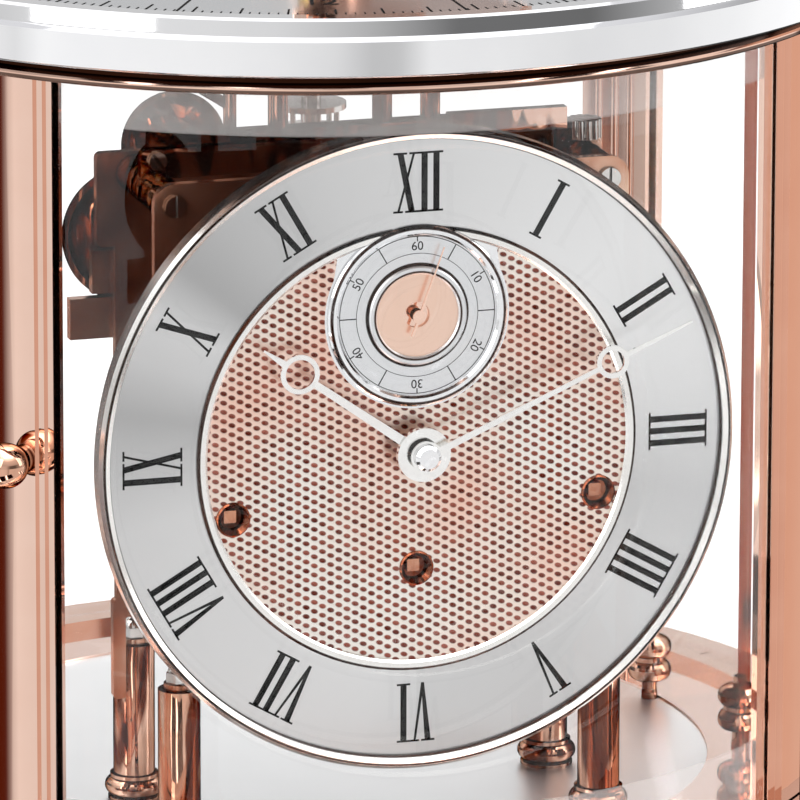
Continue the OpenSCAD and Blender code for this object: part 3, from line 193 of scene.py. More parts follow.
card_faces = []
for name, colour in (("black_card", (0.010, 0.004, 0.003, 1.0)), ("white_card", (4.0, 4.0, 4.0, 1.0))):
    face, n = new_material(name)
    n.add("ShaderNodeOutputMaterial", {"Surface": n.add("ShaderNodeEmission", {"Color": colour}).outputs[0]})
    card_faces.append(face)
black, white = 0, 1
card_start, card_height = 0.195, 0.001
bm = bmesh.new()
for first, last, reach, shade in (
        (-68, -58, 0.24, black), (-58, -52, 0.31, white), (-52, -38, 0.31, black), (-34, -29, 0.31, white),
        (-26, -4, 0.31, black), (32, 36, 0.31, white), (36, 50, 0.31, black), (50, 56, 0.31, white),
        (56, 68, 0.27, black), (70, 75, 0.22, white)):
    corners = []
    for degrees, radius in ((last, card_start), (last, reach), (first, reach), (first, card_start)):
        angle = math.radians(degrees)
        corners.append(bm.verts.new((radius * math.sin(angle), -radius * math.cos(angle), card_height)))
    bm.faces.new(corners).material_index = shade
card = link_mesh("table_cards", bm, *card_faces)
card.visible_camera = card.visible_diffuse = card.visible_shadow = card.visible_transmission = False


# Base
# A heavy steel plate on four turned nickel feet carries the case. The drum round it is nickel-plated brass
# with a satin finish, which hides finger marks.
def effect(name, inputs, outputs):
    """An empty shader group with these sockets, and its input and output nodes."""
    tree = bpy.data.node_groups.new(name, "ShaderNodeTree")
    for label, default in inputs:
        socket = tree.interface.new_socket(label, in_out="INPUT", socket_type="NodeSocketFloat")
        socket.default_value = default
    for label in outputs:
        tree.interface.new_socket(label, in_out="OUTPUT", socket_type="NodeSocketFloat")
    n = Nodes(tree)
    return tree, n, n.add("NodeGroupInput").outputs, n.add("NodeGroupOutput").inputs


polish, n, given, result = effect("polish_marks", (("Roughness", 0.08), ("Spread", 0.06), ("Scale", 60.0)),
                                  ("Roughness", "Height", "Cloud"))
place = n.add("ShaderNodeTexCoord").outputs["Object"]
cloud = n.add("ShaderNodeTexNoise", {"Vector": place, "Scale": given["Scale"], "Detail": 3.0}).outputs["Fac"]
drawn = n.add("ShaderNodeMapping", {"Vector": place, "Scale": (9.0, 9.0, 0.6), "Rotation": (0.3, 0.2, 0.4)})
finer = n.math("MULTIPLY", given["Scale"], 6.0)
scuff = n.add("ShaderNodeTexNoise", {"Vector": drawn.outputs[0], "Scale": finer,
                                     "Detail": 2.0}).outputs["Fac"]
uneven = n.math("MULTIPLY_ADD", cloud, 0.6, n.math("MULTIPLY", scuff, 0.4))
n.set(result["Roughness"], n.math("MULTIPLY_ADD", n.math("SUBTRACT", uneven, 0.4), given["Spread"],
                                  given["Roughness"]))
n.set(result["Height"], scuff)
n.set(result["Cloud"], cloud)


def polish_on(n, roughness=0.08, spread=0.06, scale=60.0):
    """The marks that polishing leaves: an uneven roughness, a fine relief and a cloud of lighter places."""
    marks = n.add("ShaderNodeGroup", node_tree=polish)
    for label, value in (("Roughness", roughness), ("Spread", spread), ("Scale", scale)):
        marks.inputs[label].default_value = value
    return marks.outputs


shadow_line = (0.025, 0.008, 0.004, 1.0)


def crevice(n, reach):
    """1 on open faces, falling to 0 in corners and gaps: where painted shade goes."""
    open_sky = n.add("ShaderNodeAmbientOcclusion", {"Distance": reach}, samples=6).outputs["AO"]
    return n.span(open_sky, 0.25, 0.8)


def surface(n, inputs):
    """A Principled shader with these inputs as the material's surface."""
    shader = n.add("ShaderNodeBsdfPrincipled", inputs)
    n.add("ShaderNodeOutputMaterial", {"Surface": shader.outputs[0]})


def metal(name, light, deep, roughness, spread=0.05, scale=60.0, bump=0.02, distance=0.00005, corners=0.0,
          rim=1.0, waves=0.0):
    """A polished metal. Corners get painted shade over that reach; waves give an uneven relief with dark
    streaks of painted reflection, and a rim below 1 darkens the edge tint into painted dark outlines.
    """
    material, n = new_material(name)
    marks = polish_on(n, roughness, spread, scale)
    colour = n.ramp(marks["Cloud"], (0.3, deep), (0.7, light))
    relief = n.add("ShaderNodeBump", {"Height": marks["Height"], "Strength": bump, "Distance": distance})
    if waves:
        place = n.add("ShaderNodeTexCoord").outputs["Object"]
        drawn = n.add("ShaderNodeMapping", {"Vector": place, "Scale": (1.0, 1.0, 0.25)}).outputs[0]
        ripple_and_streak = n.add("ShaderNodeTexNoise", {"Vector": drawn, "Scale": 170.0, "Detail": 1.0}).outputs["Fac"]
        # Dark streaks where the waves run low are painted reflection.
        colour = n.mix(n.span(ripple_and_streak, 0.47, 0.40), colour, (0.15, 0.035, 0.015, 1.0))
        relief = n.add("ShaderNodeBump", {"Height": ripple_and_streak, "Strength": 1.0, "Distance": waves,
                                          "Normal": relief.outputs[0]})
    # Painted shade in the corners.
    if corners:
        colour = n.mix(crevice(n, corners), shadow_line, colour)
    surface(n, {"Base Color": colour, "Metallic": 1.0, "Roughness": marks["Roughness"],
                "Specular Tint": (rim, rim * rim, rim * rim, 1.0), "Normal": relief.outputs[0]})
    return material


def finish_node(material, *names):
    """Gives the frame's nodes this finish in place of their plain one."""
    for name in names:
        slots = nodes[name].data.materials
        if not slots:
            slots.append(material)
        for i in range(len(slots)):
            slots[i] = material


# The steel's corners get painted shade.
steel = metal("polished_steel", (0.78, 0.76, 0.74), (0.60, 0.57, 0.54), 0.12, 0.10, 140.0, 0.06,
              corners=0.002)
nickel = metal("polished_nickel", (0.88, 0.88, 0.89), (0.85, 0.85, 0.865), 0.05, 0.03)
satin_nickel = metal("satin_nickel", (0.86, 0.86, 0.87), (0.80, 0.80, 0.81), 0.38, 0.06, 90.0)
finish_node(steel, "base_plate")
finish_node(nickel, "feet")
finish_node(satin_nickel, "base_ring")

# Floor of the case
# A flat ring of copper-plated brass lies in the base, round a mirror of pale coated glass that shows the
# columns again. Two turned spindles are screwed to the ring.
floor_copper = metal("floor_ring_copper", (1.0, 0.72, 0.62), (0.98, 0.69, 0.58), 0.06, 0.03)
mirror = metal("floor_mirror", (0.95, 0.955, 0.96), (0.93, 0.935, 0.94), 0.38, 0.02)
# Turned copper gets painted shade in its corners, dark streaks of painted reflection and a near-black edge
# tint that paints dark outlines.
turned_copper = metal("turned_copper", (0.86, 0.56, 0.43), (0.66, 0.34, 0.22), 0.03, 0.03, 90.0,
                      corners=0.003, rim=0.01, waves=0.0006)
finish_node(floor_copper, "floor_ring")
finish_node(mirror, "floor_mirror")
finish_node(turned_copper, "floor_spindles")

# Posts
# Four fluted posts of copper-plated brass hold the rings apart. The slim strips that cover the butt joints
# of the side panes are left brown.
joint_at = math.radians(101.8)
post_light, post_deep = (0.88, 0.62, 0.51), (0.85, 0.58, 0.47)
posts, n = new_material("post_copper")
spot = n.add("ShaderNodeSeparateXYZ", {"Vector": n.add("ShaderNodeTexCoord").outputs["Object"]}).outputs
from_front = n.math("ARCTAN2", n.math("ABSOLUTE", spot["X"]), n.math("MULTIPLY", spot["Y"], -1.0))
off_joint = n.math("ABSOLUTE", n.math("SUBTRACT", from_front, joint_at))
joint = n.span(off_joint, math.radians(1.4), math.radians(1.2))
marks = polish_on(n)
tone = n.ramp(marks["Cloud"], (0.3, post_deep), (0.7, post_light))
surface(n, {"Base Color": n.mix(joint, tone, (0.38, 0.08, 0.028, 1.0)), "Metallic": 1.0,
            "Roughness": marks["Roughness"]})
finish_node(posts, "case_posts")

# Mouldings
# The two copper mouldings are turned with a deep groove next to the nickel rings. On the upper one its band
# is painted near-black as shade, and so, a little less, is the band under its bead, where it faces the
# glass.
groove_from, bead_foot = 0.2280, 0.22705
glass_side, glass_edge = 0.2255, 0.2262
moulding, n = new_material("moulding_copper")
place = n.add("ShaderNodeTexCoord").outputs["Object"]
height = n.add("ShaderNodeSeparateXYZ", {"Vector": place}).outputs["Z"]
# Painted shade: the groove band and the band under the bead.
groove_band_shade = n.span(height, groove_from - 0.0001, groove_from + 0.0001)
under_bead_shade = n.span(height, bead_foot + 0.0001, bead_foot - 0.0001)
beside_glass = n.math("MULTIPLY", under_bead_shade, n.span(height, glass_side, glass_edge))
moulding_shade = n.math("MAXIMUM", groove_band_shade, n.math("MULTIPLY", beside_glass, 0.85))
marks = polish_on(n)
tone = n.ramp(marks["Cloud"], (0.3, (0.85, 0.55, 0.43)), (0.7, (0.90, 0.62, 0.50)))
surface(n, {"Base Color": n.mix(moulding_shade, tone, shadow_line), "Metallic": 1.0, "Roughness": marks["Roughness"]})
finish_node(moulding, "top_moulding", "base_moulding")

# Top ring
# Nickel-plated and polished, in two bands with chamfers whose colour is darkened as painted shade, to dull
# their highlights. The narrow upper band leans back a little, so it shows the room higher up than the wide
# one.
band_edge, band_start, band_lean = 0.2403, 0.2412, 0.17
banded, n = new_material("banded_nickel")
place = n.add("ShaderNodeTexCoord").outputs["Object"]
height = n.add("ShaderNodeSeparateXYZ", {"Vector": place}).outputs["Z"]
lean = n.math("MULTIPLY", n.span(height, band_edge, band_start), band_lean)
normal = n.add("ShaderNodeNewGeometry").outputs["Normal"]
lifted = n.add("ShaderNodeCombineXYZ", {"Z": lean}).outputs[0]
leaning = n.add("ShaderNodeVectorMath", {0: normal, 1: lifted}, operation="ADD").outputs[0]
facing_way = n.add("ShaderNodeVectorMath", {0: leaning}, operation="NORMALIZE").outputs[0]
rise = n.add("ShaderNodeSeparateXYZ", {"Vector": normal}).outputs["Z"]
chamfer_shade = n.span(n.math("ABSOLUTE", n.math("SUBTRACT", rise, 0.65)), 0.30, 0.26)
marks = polish_on(n, 0.05, 0.03)
tone = n.ramp(marks["Cloud"], (0.3, (0.85, 0.85, 0.865)), (0.7, (0.88, 0.88, 0.89)))
surface(n, {"Base Color": n.mix(chamfer_shade, tone, (0.26, 0.26, 0.27, 1.0)), "Metallic": 1.0,
            "Roughness": marks["Roughness"], "Normal": facing_way})
finish_node(banded, "top_ring")

# Panes
# Bent float glass, slipped between the posts and into the door's uprights. It is clear when looked
# through, and its edges and steep sides turn milky.
glass, n = new_material("bent_glass")
edge_on = n.add("ShaderNodeLayerWeight", {"Blend": 0.35}).outputs["Facing"]
surface(n, {"Base Color": (0.93, 0.94, 0.945, 1.0), "Roughness": 0.0, "IOR": 1.45,
            "Transmission Weight": 1.0,
            "Alpha": n.math("MULTIPLY_ADD", n.math("POWER", edge_on, 4.0), 0.5, 0.03)})
finish_node(glass, "case_glasses", "door_glass")

# Door
# Two curved copper uprights hold the front pane, and the groove that it sits in is painted dark as shade.
# The clear plastic strips line its top and foot; the knob is turned, and two steel pins are the hinge.
groove_radius = 0.1251
upright, n = new_material("upright_copper")
spot = n.add("ShaderNodeSeparateXYZ", {"Vector": n.add("ShaderNodeTexCoord").outputs["Object"]}).outputs
from_axis = n.math("SQRT", n.math("ADD", n.math("POWER", spot["X"], 2.0), n.math("POWER", spot["Y"], 2.0)))
pane_groove_shade = n.span(n.math("ABSOLUTE", n.math("SUBTRACT", from_axis, groove_radius)), 0.0011, 0.0009)
marks = polish_on(n, 0.03, 0.02)
tone = n.ramp(marks["Cloud"], (0.3, post_deep), (0.7, post_light))
surface(n, {"Base Color": n.mix(pane_groove_shade, tone, shadow_line), "Metallic": 1.0,
            "Roughness": marks["Roughness"]})
finish_node(upright, "door_stile_left", "door_stile_right")

lining, n = new_material("clear_strip")
surface(n, {"Base Color": (1.0, 0.95, 0.93, 1.0), "Roughness": 0.25, "Specular IOR Level": 0.3,
            "Alpha": 0.17})
finish_node(lining, "door_strips")
finish_node(turned_copper, "door_knob")
finish_node(steel, "hinge_pins")

# Movement plates
# Two thick brass plates, coppered more thinly than the case and less polished, so they look brown in its
# shade.
# Their tone runs by a cloud from dark brown to cream patches of painted highlight, and their corners get
# painted shade. Two rails of the same finish carry them on the columns.
plate_copper, n = new_material("plate_copper")
marks = polish_on(n, 0.20, 0.05, 38.0)
tone = n.ramp(marks["Cloud"], (0.32, (0.32, 0.10, 0.05)), (0.5, (0.66, 0.32, 0.20)),
              (0.66, (0.95, 0.66, 0.50)))
surface(n, {"Base Color": n.mix(crevice(n, 0.006), shadow_line, tone), "Metallic": 0.85,
            "Roughness": marks["Roughness"]})
finish_node(plate_copper, "front_plate", "back_plate", "seat_rails")

# Columns, pillars and bracket
# Turned brass under a bright copper plating: the four columns with their collars, the spacers between the
# plates, the bells and the bracket of the drive. Screws, arbors and the knurled nut are bare steel.
finish_node(turned_copper, "support_columns", "column_collars", "plate_pillars", "chime_bells",
            "drive_bracket")
finish_node(steel, "plate_screws", "minute_arbor", "drive_shaft")

# Wheels and barrels
# Ground brass, left as it comes from the wheel cutter, with painted shade in the corners between the teeth.
# The barrels, the balance with its platform and the hammers are of the same brass.
brass = metal("ground_brass", (0.80, 0.50, 0.33), (0.66, 0.36, 0.22), 0.20, 0.12, 160.0, 0.10, corners=0.003)
finish_node(brass, "time_barrel", "strike_barrel", "chime_barrel", "intermediate_wheel", "motion_wheel",
            "hour_wheel", "balance_platform", "balance_wheel", "strike_hammer", "chime_hammer",
            "idler_wheel")

# Winding squares
# Three square-ended bronze arbors, worn bright by the key, one for each barrel. They end inside dark
# bushes that are pressed into the dial.
# Both darken their edge tint, which paints dark outlines.
worn_bronze = metal("winding_square_bronze", (0.62, 0.30, 0.19), (0.40, 0.15, 0.09), 0.12, 0.08, 200.0,
                    rim=0.3)
bush_brown = metal("bronzed_bush", (0.34, 0.11, 0.055), (0.16, 0.04, 0.018), 0.10, 0.08, 300.0, rim=0.1)
finish_node(worn_bronze, "winding_arbor_left", "winding_arbor_centre", "winding_arbor_right")
finish_node(bush_brown, "winding_bushes")

# Dial plate and chapter ring
# A copper-plated plate carries the silvered ring, which is brushed in circles round the dial. A painted
# sheen goes from dark to light round the hours, standing in for light that falls across or along the brush
# marks.
dial_y, dial_z = -0.0900045, 0.130
copper = metal("polished_copper", (0.88, 0.62, 0.51), (0.85, 0.58, 0.47), 0.05, 0.04)
finish_node(copper, "dial_plate")


def arm_from(n, middle):
    """How far each point lies from a middle, as a vector."""
    place = n.add("ShaderNodeTexCoord").outputs["Object"]
    return n.add("ShaderNodeVectorMath", {0: place, 1: middle}, operation="SUBTRACT").outputs[0]


def length_of(n, arm):
    return n.add("ShaderNodeVectorMath", {0: arm}, operation="LENGTH").outputs["Value"]


brushed, n = new_material("circle_brushed_silver")
arm = arm_from(n, (0.0, dial_y, dial_z))
round_way = n.add("ShaderNodeVectorMath", {0: arm, 1: (0.0, 1.0, 0.0)}, operation="CROSS_PRODUCT").outputs[0]
brushing = n.add("ShaderNodeVectorMath", {0: round_way}, operation="NORMALIZE").outputs[0]
rings = n.add("ShaderNodeTexNoise", {"W": n.math("MULTIPLY", length_of(n, arm), 9000.0), "Scale": 1.0,
                                     "Detail": 2.0}, noise_dimensions="1D").outputs["Fac"]
spot = n.add("ShaderNodeSeparateXYZ", {"Vector": n.add("ShaderNodeTexCoord").outputs["Object"]}).outputs
clock_turn = n.math("ARCTAN2", spot["X"], n.math("SUBTRACT", spot["Z"], dial_z))
clock_place = n.math("MULTIPLY_ADD", clock_turn, 0.5 / math.pi, 0.5)
painted_sheen = n.ramp(clock_place, *[((hour / 12 + 0.5) % 1, grey(level)) for hour, level in (
    (6.0, 0.75), (6.4, 0.80), (8.6, 0.82), (9.1, 0.68), (9.35, 0.57), (9.7, 0.80), (10.0, 0.88),
    (10.33, 0.52), (10.7, 0.62), (11.4, 0.74), (0.2, 0.80), (1.6, 1.0), (2.4, 0.94), (3.4, 0.70),
    (4.2, 0.82), (4.9, 0.70))])
shade = n.mix(n.math("MULTIPLY_ADD", rings, 0.4, -0.13), painted_sheen, (0.62, 0.62, 0.64, 1.0))
relief = n.add("ShaderNodeBump", {"Height": rings, "Strength": 0.05, "Distance": 0.00003})
surface(n, {"Base Color": shade, "Metallic": 1.0, "Roughness": 0.32, "Anisotropic": 0.7, "Tangent": brushing,
            "Normal": relief.outputs[0]})
finish_node(brushed, "chapter_ring")

# Numerals
# Black Roman numerals printed on the ring. They stand on their feet towards the middle of the dial, with
# thick and thin strokes and fine serifs.
numeral_foot, numeral_head = 0.0574, 0.0719
thick, thin, serif, serif_over, stem_pitch = 0.0015, 0.00055, 0.00048, 0.0009, 0.0029
numeral_back, numeral_front = -0.00002, 0.00005
ink, n = new_material("black_print")
place = n.add("ShaderNodeTexCoord").outputs["Object"]
speck = n.add("ShaderNodeTexNoise", {"Vector": place, "Scale": 4000.0}).outputs["Fac"]
surface(n, {"Base Color": n.ramp(speck, (0.3, grey(0.004)), (0.7, grey(0.012))),
            "Roughness": n.math("MULTIPLY_ADD", speck, 0.2, 0.55), "Specular IOR Level": 0.04})


def slab(bm, corners, middle, turn, low, high):
    """A flat prism between two heights in front of the ring; its corners are turned about the middle."""
    c, s = math.cos(turn), math.sin(turn)
    spots = [(middle[0] + x * c + y * s, middle[1] - x * s + y * c) for x, y in corners]
    back = [bm.verts.new((x, dial_y - low, z)) for x, z in spots]
    front = [bm.verts.new((x, dial_y - high, z)) for x, z in spots]
    bm.faces.new(front)
    bm.faces.new(back[::-1])
    for i in range(len(spots)):
        j = (i + 1) % len(spots)
        bm.faces.new((back[i], back[j], front[j], front[i]))


def bar(left, right, low, high):
    return [(left, low), (right, low), (right, high), (left, high)]


def stroke(foot_x, head_x, width):
    """A stroke from the numeral's foot to its head, with its two serifs."""
    tall, half = numeral_head - numeral_foot, width / 2
    over = serif_over + half
    return [[(foot_x - half, 0), (foot_x + half, 0), (head_x + half, tall), (head_x - half, tall)],
            bar(foot_x - over, foot_x + over, 0, serif),
            bar(head_x - over, head_x + over, tall - serif, tall)]


def letter(sign):
    """Strokes of one sign from its left edge, and how far it takes the next one."""
    tall = numeral_head - numeral_foot
    if sign == "I":
        return stroke(stem_pitch / 2, stem_pitch / 2, thick), stem_pitch
    if sign == "V":
        wide, stem = 0.0056, 0.0018
        foot = wide / 2 + 0.0003
        left = [(foot - 0.0003, 0), (foot + 0.0004, 0), (stem + thick / 2, tall), (stem - thick / 2, tall)]
        right = [(foot - 0.0003, 0), (foot + 0.0004, 0), (wide - 0.0002, tall), (wide - 0.0002 - thin, tall)]
        over = thick / 2 + serif_over
        tops = [bar(stem - over, stem + over, tall - serif, tall),
                bar(wide - thin - serif_over - 0.0002, wide + serif_over - 0.0002, tall - serif, tall)]
        return [left, right] + tops, wide + 0.0008
    wide = 0.0061
    return stroke(wide - 0.0016, 0.0016, thick) + stroke(0.0011, wide - 0.0011, thin), wide


bm = bmesh.new()
for hour, numeral in enumerate(("XII", "I", "II", "III", "IIII", "V", "VI", "VII", "VIII", "IX", "X", "XI")):
    letters = [letter(sign) for sign in numeral]
    turn = math.radians(30 * hour)
    start = -sum(width for _, width in letters) / 2
    for strokes, width in letters:
        for corners in strokes:
            slab(bm, [(x + start, y + numeral_foot) for x, y in corners], (0.0, dial_z), turn, numeral_back,
                 numeral_front)
        start += width
numerals = link_mesh("chapter_numerals", bm, ink)
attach(numerals, "case")


# Bezel
# One nickel-plated ring round the dial and a bead inside the chapter ring, each with two fine dark lines
# painted on as shade.
def turned_lines(n, reach, lines):
    """1 on thin dark lines of painted shade, each given by its radius and width, and 0 elsewhere."""
    mask, blur = 0.0, 0.0001
    for radius, width in lines:
        off = n.math("ABSOLUTE", n.math("SUBTRACT", reach, radius))
        mask = n.math("MAXIMUM", mask, n.span(off, width / 2 + blur, width / 2 - blur))
    return mask


bezel_finish, n = new_material("bezel_nickel")
reach = length_of(n, arm_from(n, (0.0, dial_y, dial_z)))
lines = turned_lines(n, reach, ((0.0510, 0.0006), (0.0537, 0.0008), (0.0750, 0.0007), (0.0769, 0.0006)))
marks = polish_on(n, 0.18)
tone = n.ramp(marks["Cloud"], (0.3, (0.86, 0.84, 0.81)), (0.7, (0.93, 0.92, 0.90)))
surface(n, {"Base Color": n.mix(lines, tone, shadow_line), "Metallic": 1.0, "Roughness": marks["Roughness"]})
finish_node(bezel_finish, "dial_bezel")

# Guilloche centre
# A copper sheet cut by a rose engine: staggered rows of little lens-shaped hollows painted dark as shade,
# with ridges between that run from plain copper to a cream painted highlight. The middle of the seconds dial
# is the same copper, left plain.
column_pitch, row_pitch = 0.00201, 0.00223
hollow_w, hollow_h, hollow_tilt = 0.00083, 0.00054, math.radians(-18)
seconds_z = dial_z + 0.0325
plain_radius = 0.0105
engine_turned, n = new_material("engine_turned_copper")
place = n.add("ShaderNodeTexCoord").outputs["Object"]
spot = n.add("ShaderNodeSeparateXYZ", {"Vector": place}).outputs
u = n.math("DIVIDE", spot["X"], column_pitch)
column = n.math("FLOOR", u)
row = n.math("DIVIDE", n.math("SUBTRACT", spot["Z"], dial_z), row_pitch)
v = n.math("MULTIPLY_ADD", n.math("FLOORED_MODULO", column, 2.0), 0.5, row)
across_cell = n.math("MULTIPLY", n.math("SUBTRACT", n.math("FRACT", u), 0.5), column_pitch)
up_cell = n.math("MULTIPLY", n.math("SUBTRACT", n.math("FRACT", v), 0.5), row_pitch)
c, s = math.cos(hollow_tilt), math.sin(hollow_tilt)
along = n.math("MULTIPLY_ADD", across_cell, c, n.math("MULTIPLY", up_cell, s))
over = n.math("MULTIPLY_ADD", up_cell, c, n.math("MULTIPLY", across_cell, -s))
far = n.math("SQRT", n.math("ADD", n.math("POWER", n.math("DIVIDE", along, hollow_w), 2.0),
                            n.math("POWER", n.math("DIVIDE", over, hollow_h), 2.0)))
cell = n.add("ShaderNodeCombineXYZ", {"X": column, "Y": n.math("FLOOR", v)}).outputs[0]
chance = n.add("ShaderNodeTexWhiteNoise", {"Vector": cell}, noise_dimensions="2D").outputs["Value"]
drift = n.add("ShaderNodeTexNoise", {"Vector": place, "Scale": 26.0, "Detail": 2.0}).outputs["Fac"]
ridge_highlight = n.ramp(drift, (0.36, (1.0, 0.94, 0.87)), (0.5, (1.0, 0.85, 0.75)), (0.66, (1.0, 0.68, 0.56)))
hollow_shade = n.mix(chance, (0.13, 0.016, 0.008, 1.0), (0.40, 0.11, 0.075, 1.0))
cut = n.mix(n.span(far, 0.85, 1.25), hollow_shade, ridge_highlight)
from_middle = n.math("ADD", n.math("POWER", spot["X"], 2.0),
                     n.math("POWER", n.math("SUBTRACT", spot["Z"], seconds_z), 2.0))
plain = n.math("LESS_THAN", from_middle, plain_radius ** 2)
depth = n.math("MAXIMUM", n.math("MINIMUM", far, 1.3), n.math("MULTIPLY", plain, 1.3))
relief = n.add("ShaderNodeBump", {"Height": depth, "Strength": 0.3, "Distance": 0.0002})
surface(n, {"Base Color": n.mix(plain, cut, (1.0, 0.71, 0.57, 1.0)), "Metallic": 1.0, "Roughness": 0.3,
            "Normal": relief.outputs[0]})
finish_node(engine_turned, "copper_inlays")

# Seconds dial
# A silvered track between two turned rims, printed with the seconds in tens, a stroke at each five and
# thin circles. The numbers stand on their feet towards the middle.
track_face = -0.0003
print_sunk, print_proud = 0.00002, 0.00005
satin_rim, n = new_material("silvered_track")
arm = arm_from(n, (0.0, dial_y, seconds_z))
flat = n.add("ShaderNodeVectorMath", {0: arm, 1: (1.0, 0.0, 1.0)}, operation="MULTIPLY").outputs[0]
from_middle = length_of(n, flat)
on_track = n.math("SUBTRACT", 1.0, n.span(from_middle, 0.0194, 0.0196))
grain = n.add("ShaderNodeTexNoise", {"W": n.math("MULTIPLY", from_middle, 12000.0), "Scale": 1.0},
              noise_dimensions="1D").outputs["Fac"]
silver = n.ramp(grain, (0.3, (0.80, 0.81, 0.83)), (0.7, (0.90, 0.905, 0.915)))
# Thin dark lines at the rims are painted shade.
lines = turned_lines(n, from_middle, ((0.0106, 0.0005), (0.0123, 0.0007), (0.0212, 0.0007)))
surface(n, {"Base Color": n.mix(lines, silver, shadow_line), "Metallic": 1.0,
            "Roughness": n.math("MULTIPLY_ADD", on_track, 0.24, 0.06)})
finish_node(satin_rim, "seconds_dial")


def circle_line(bm, middle_z, radius, width, height, steps=96):
    """A flat printed circle at a height in front of the chapter ring."""
    for i in range(steps):
        corners = []
        for step, edge in ((i, -1), (i, 1), (i + 1, 1), (i + 1, -1)):
            angle, reach = 2 * math.pi * step / steps, radius + edge * width / 2
            spot = (reach * math.sin(angle), dial_y - height, middle_z + reach * math.cos(angle))
            corners.append(bm.verts.new(spot))
        bm.faces.new(corners)


bm = bmesh.new()
for radius, width in ((0.0190, 0.00018), (0.0149, 0.00014), (0.0125, 0.00018)):
    circle_line(bm, seconds_z, radius, width, track_face + 0.00004)
for step in range(12):
    inner, outer = (0.0178, 0.0190) if step % 2 == 0 else (0.0149, 0.0190)
    slab(bm, bar(-0.00013, 0.00013, inner, outer), (0.0, seconds_z), math.radians(30 * step),
         track_face - print_sunk, track_face + print_proud)
bmesh.ops.remove_doubles(bm, verts=bm.verts, dist=1e-7)
track_marks = link_mesh("seconds_marks", bm, ink)
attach(track_marks, "case")


def printed_number(number, size):
    """A number as a thin mesh that lies in the XY plane with its middle at the origin."""
    curve = bpy.data.curves.new("number", "FONT")
    curve.body, curve.size, curve.align_x, curve.align_y = str(number), size, "CENTER", "CENTER"
    curve.extrude = 0.00003
    holder = bpy.data.objects.new("number", curve)
    scene.collection.objects.link(holder)
    bpy.context.view_layer.update()
    mesh = bpy.data.meshes.new_from_object(holder.evaluated_get(bpy.context.evaluated_depsgraph_get()))
    bpy.data.objects.remove(holder)
    mesh.materials.clear()
    return mesh


def join_meshes(name, meshes, material):
    bm = bmesh.new()
    for mesh in meshes:
        bm.from_mesh(mesh)
        bpy.data.meshes.remove(mesh)
    joined = bpy.data.meshes.new(name)
    bm.to_mesh(joined)
    bm.free()
    joined.materials.append(material)
    piece = bpy.data.objects.new(name, joined)
    scene.collection.objects.link(piece)
    return piece


number_reach = Matrix.Translation((0, 0, 0.0166))
on_edge = Matrix.Rotation(math.radians(90), 4, "X")
to_track = Matrix.Translation((0, dial_y - track_face - 0.00003, seconds_z))
numbers = []
for step, seconds in enumerate((60, 10, 20, 30, 40, 50)):
    mesh = printed_number(seconds, 0.0030)
    mesh.transform(to_track @ Matrix.Rotation(math.radians(60 * step), 4, "Y") @ number_reach @ on_edge)
    numbers.append(mesh)
second_numbers = join_meshes("seconds_numbers", numbers, ink)
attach(second_numbers, "case")

# Hands
# Pierced steel hands, polished and nickelled, on a turned hub. The seconds hand is coppered like the disc
# that it sweeps, so it hardly shows.
hand_silver = metal("hand_silver", (0.92, 0.915, 0.90), (0.88, 0.87, 0.85), 0.10, 0.05, 200.0)
pale_copper = metal("pale_copper", (1.0, 0.70, 0.57), (0.96, 0.66, 0.53), 0.22, 0.05, 200.0)
finish_node(hand_silver, "minute_hand", "hour_hand")
finish_node(nickel, "hand_nut")
finish_node(pale_copper, "seconds_hand")

# Calendar plate
# The top of the case is a silvered disc, engraved with a ring of day strokes, the months as numbers and
# longer month strokes; the earth travels over it once a year.
plate_top = 0.2438
stroke_depth, stroke_lift = 0.00008, 0.00002
calendar, n = new_material("silvered_calendar")
place = n.add("ShaderNodeTexCoord").outputs["Object"]
flat = n.add("ShaderNodeVectorMath", {0: place, 1: (1.0, 1.0, 0.0)}, operation="MULTIPLY").outputs[0]
turned = n.add("ShaderNodeTexNoise", {"W": n.math("MULTIPLY", length_of(n, flat), 7000.0), "Scale": 1.0,
                                      "Detail": 2.0}, noise_dimensions="1D").outputs["Fac"]
relief = n.add("ShaderNodeBump", {"Height": turned, "Strength": 0.05, "Distance": 0.00002})
surface(n, {"Base Color": n.ramp(turned, (0.3, (0.76, 0.77, 0.79)), (0.7, (0.82, 0.83, 0.85))),
            "Metallic": 1.0, "Roughness": 0.12, "Normal": relief.outputs[0]})
finish_node(calendar, "calendar_plate")

# One tree makes every ring of engraved strokes.
tree = bpy.data.node_groups.new("ring_of_strokes", "GeometryNodeTree")
tree.interface.new_socket("Geometry", in_out="INPUT", socket_type="NodeSocketGeometry")
for label, kind in (("Count", "Int"), ("Radius", "Float"), ("Length", "Float"), ("Width", "Float"),
                    ("Depth", "Float"), ("Height", "Float"), ("Material", "Material")):
    tree.interface.new_socket(label, in_out="INPUT", socket_type="NodeSocket" + kind)
tree.interface.new_socket("Geometry", in_out="OUTPUT", socket_type="NodeSocketGeometry")
g = Nodes(tree)
given, result = g.add("NodeGroupInput").outputs, g.add("NodeGroupOutput")
ring = g.add("GeometryNodeMeshCircle", {"Vertices": given["Count"], "Radius": given["Radius"]})
size = g.add("ShaderNodeCombineXYZ", {"X": given["Length"], "Y": given["Width"], "Z": given["Depth"]})
one = g.add("GeometryNodeMeshCube", {"Size": size.outputs[0]})
spot = g.add("GeometryNodeInputPosition")
aim = g.add("FunctionNodeAlignEulerToVector", {"Vector": spot.outputs[0]}, axis="X")
many = g.add("GeometryNodeInstanceOnPoints", {"Points": ring.outputs[0], "Instance": one.outputs[0],
                                              "Rotation": aim.outputs[0]})
lift = g.add("ShaderNodeCombineXYZ", {"Z": given["Height"]})
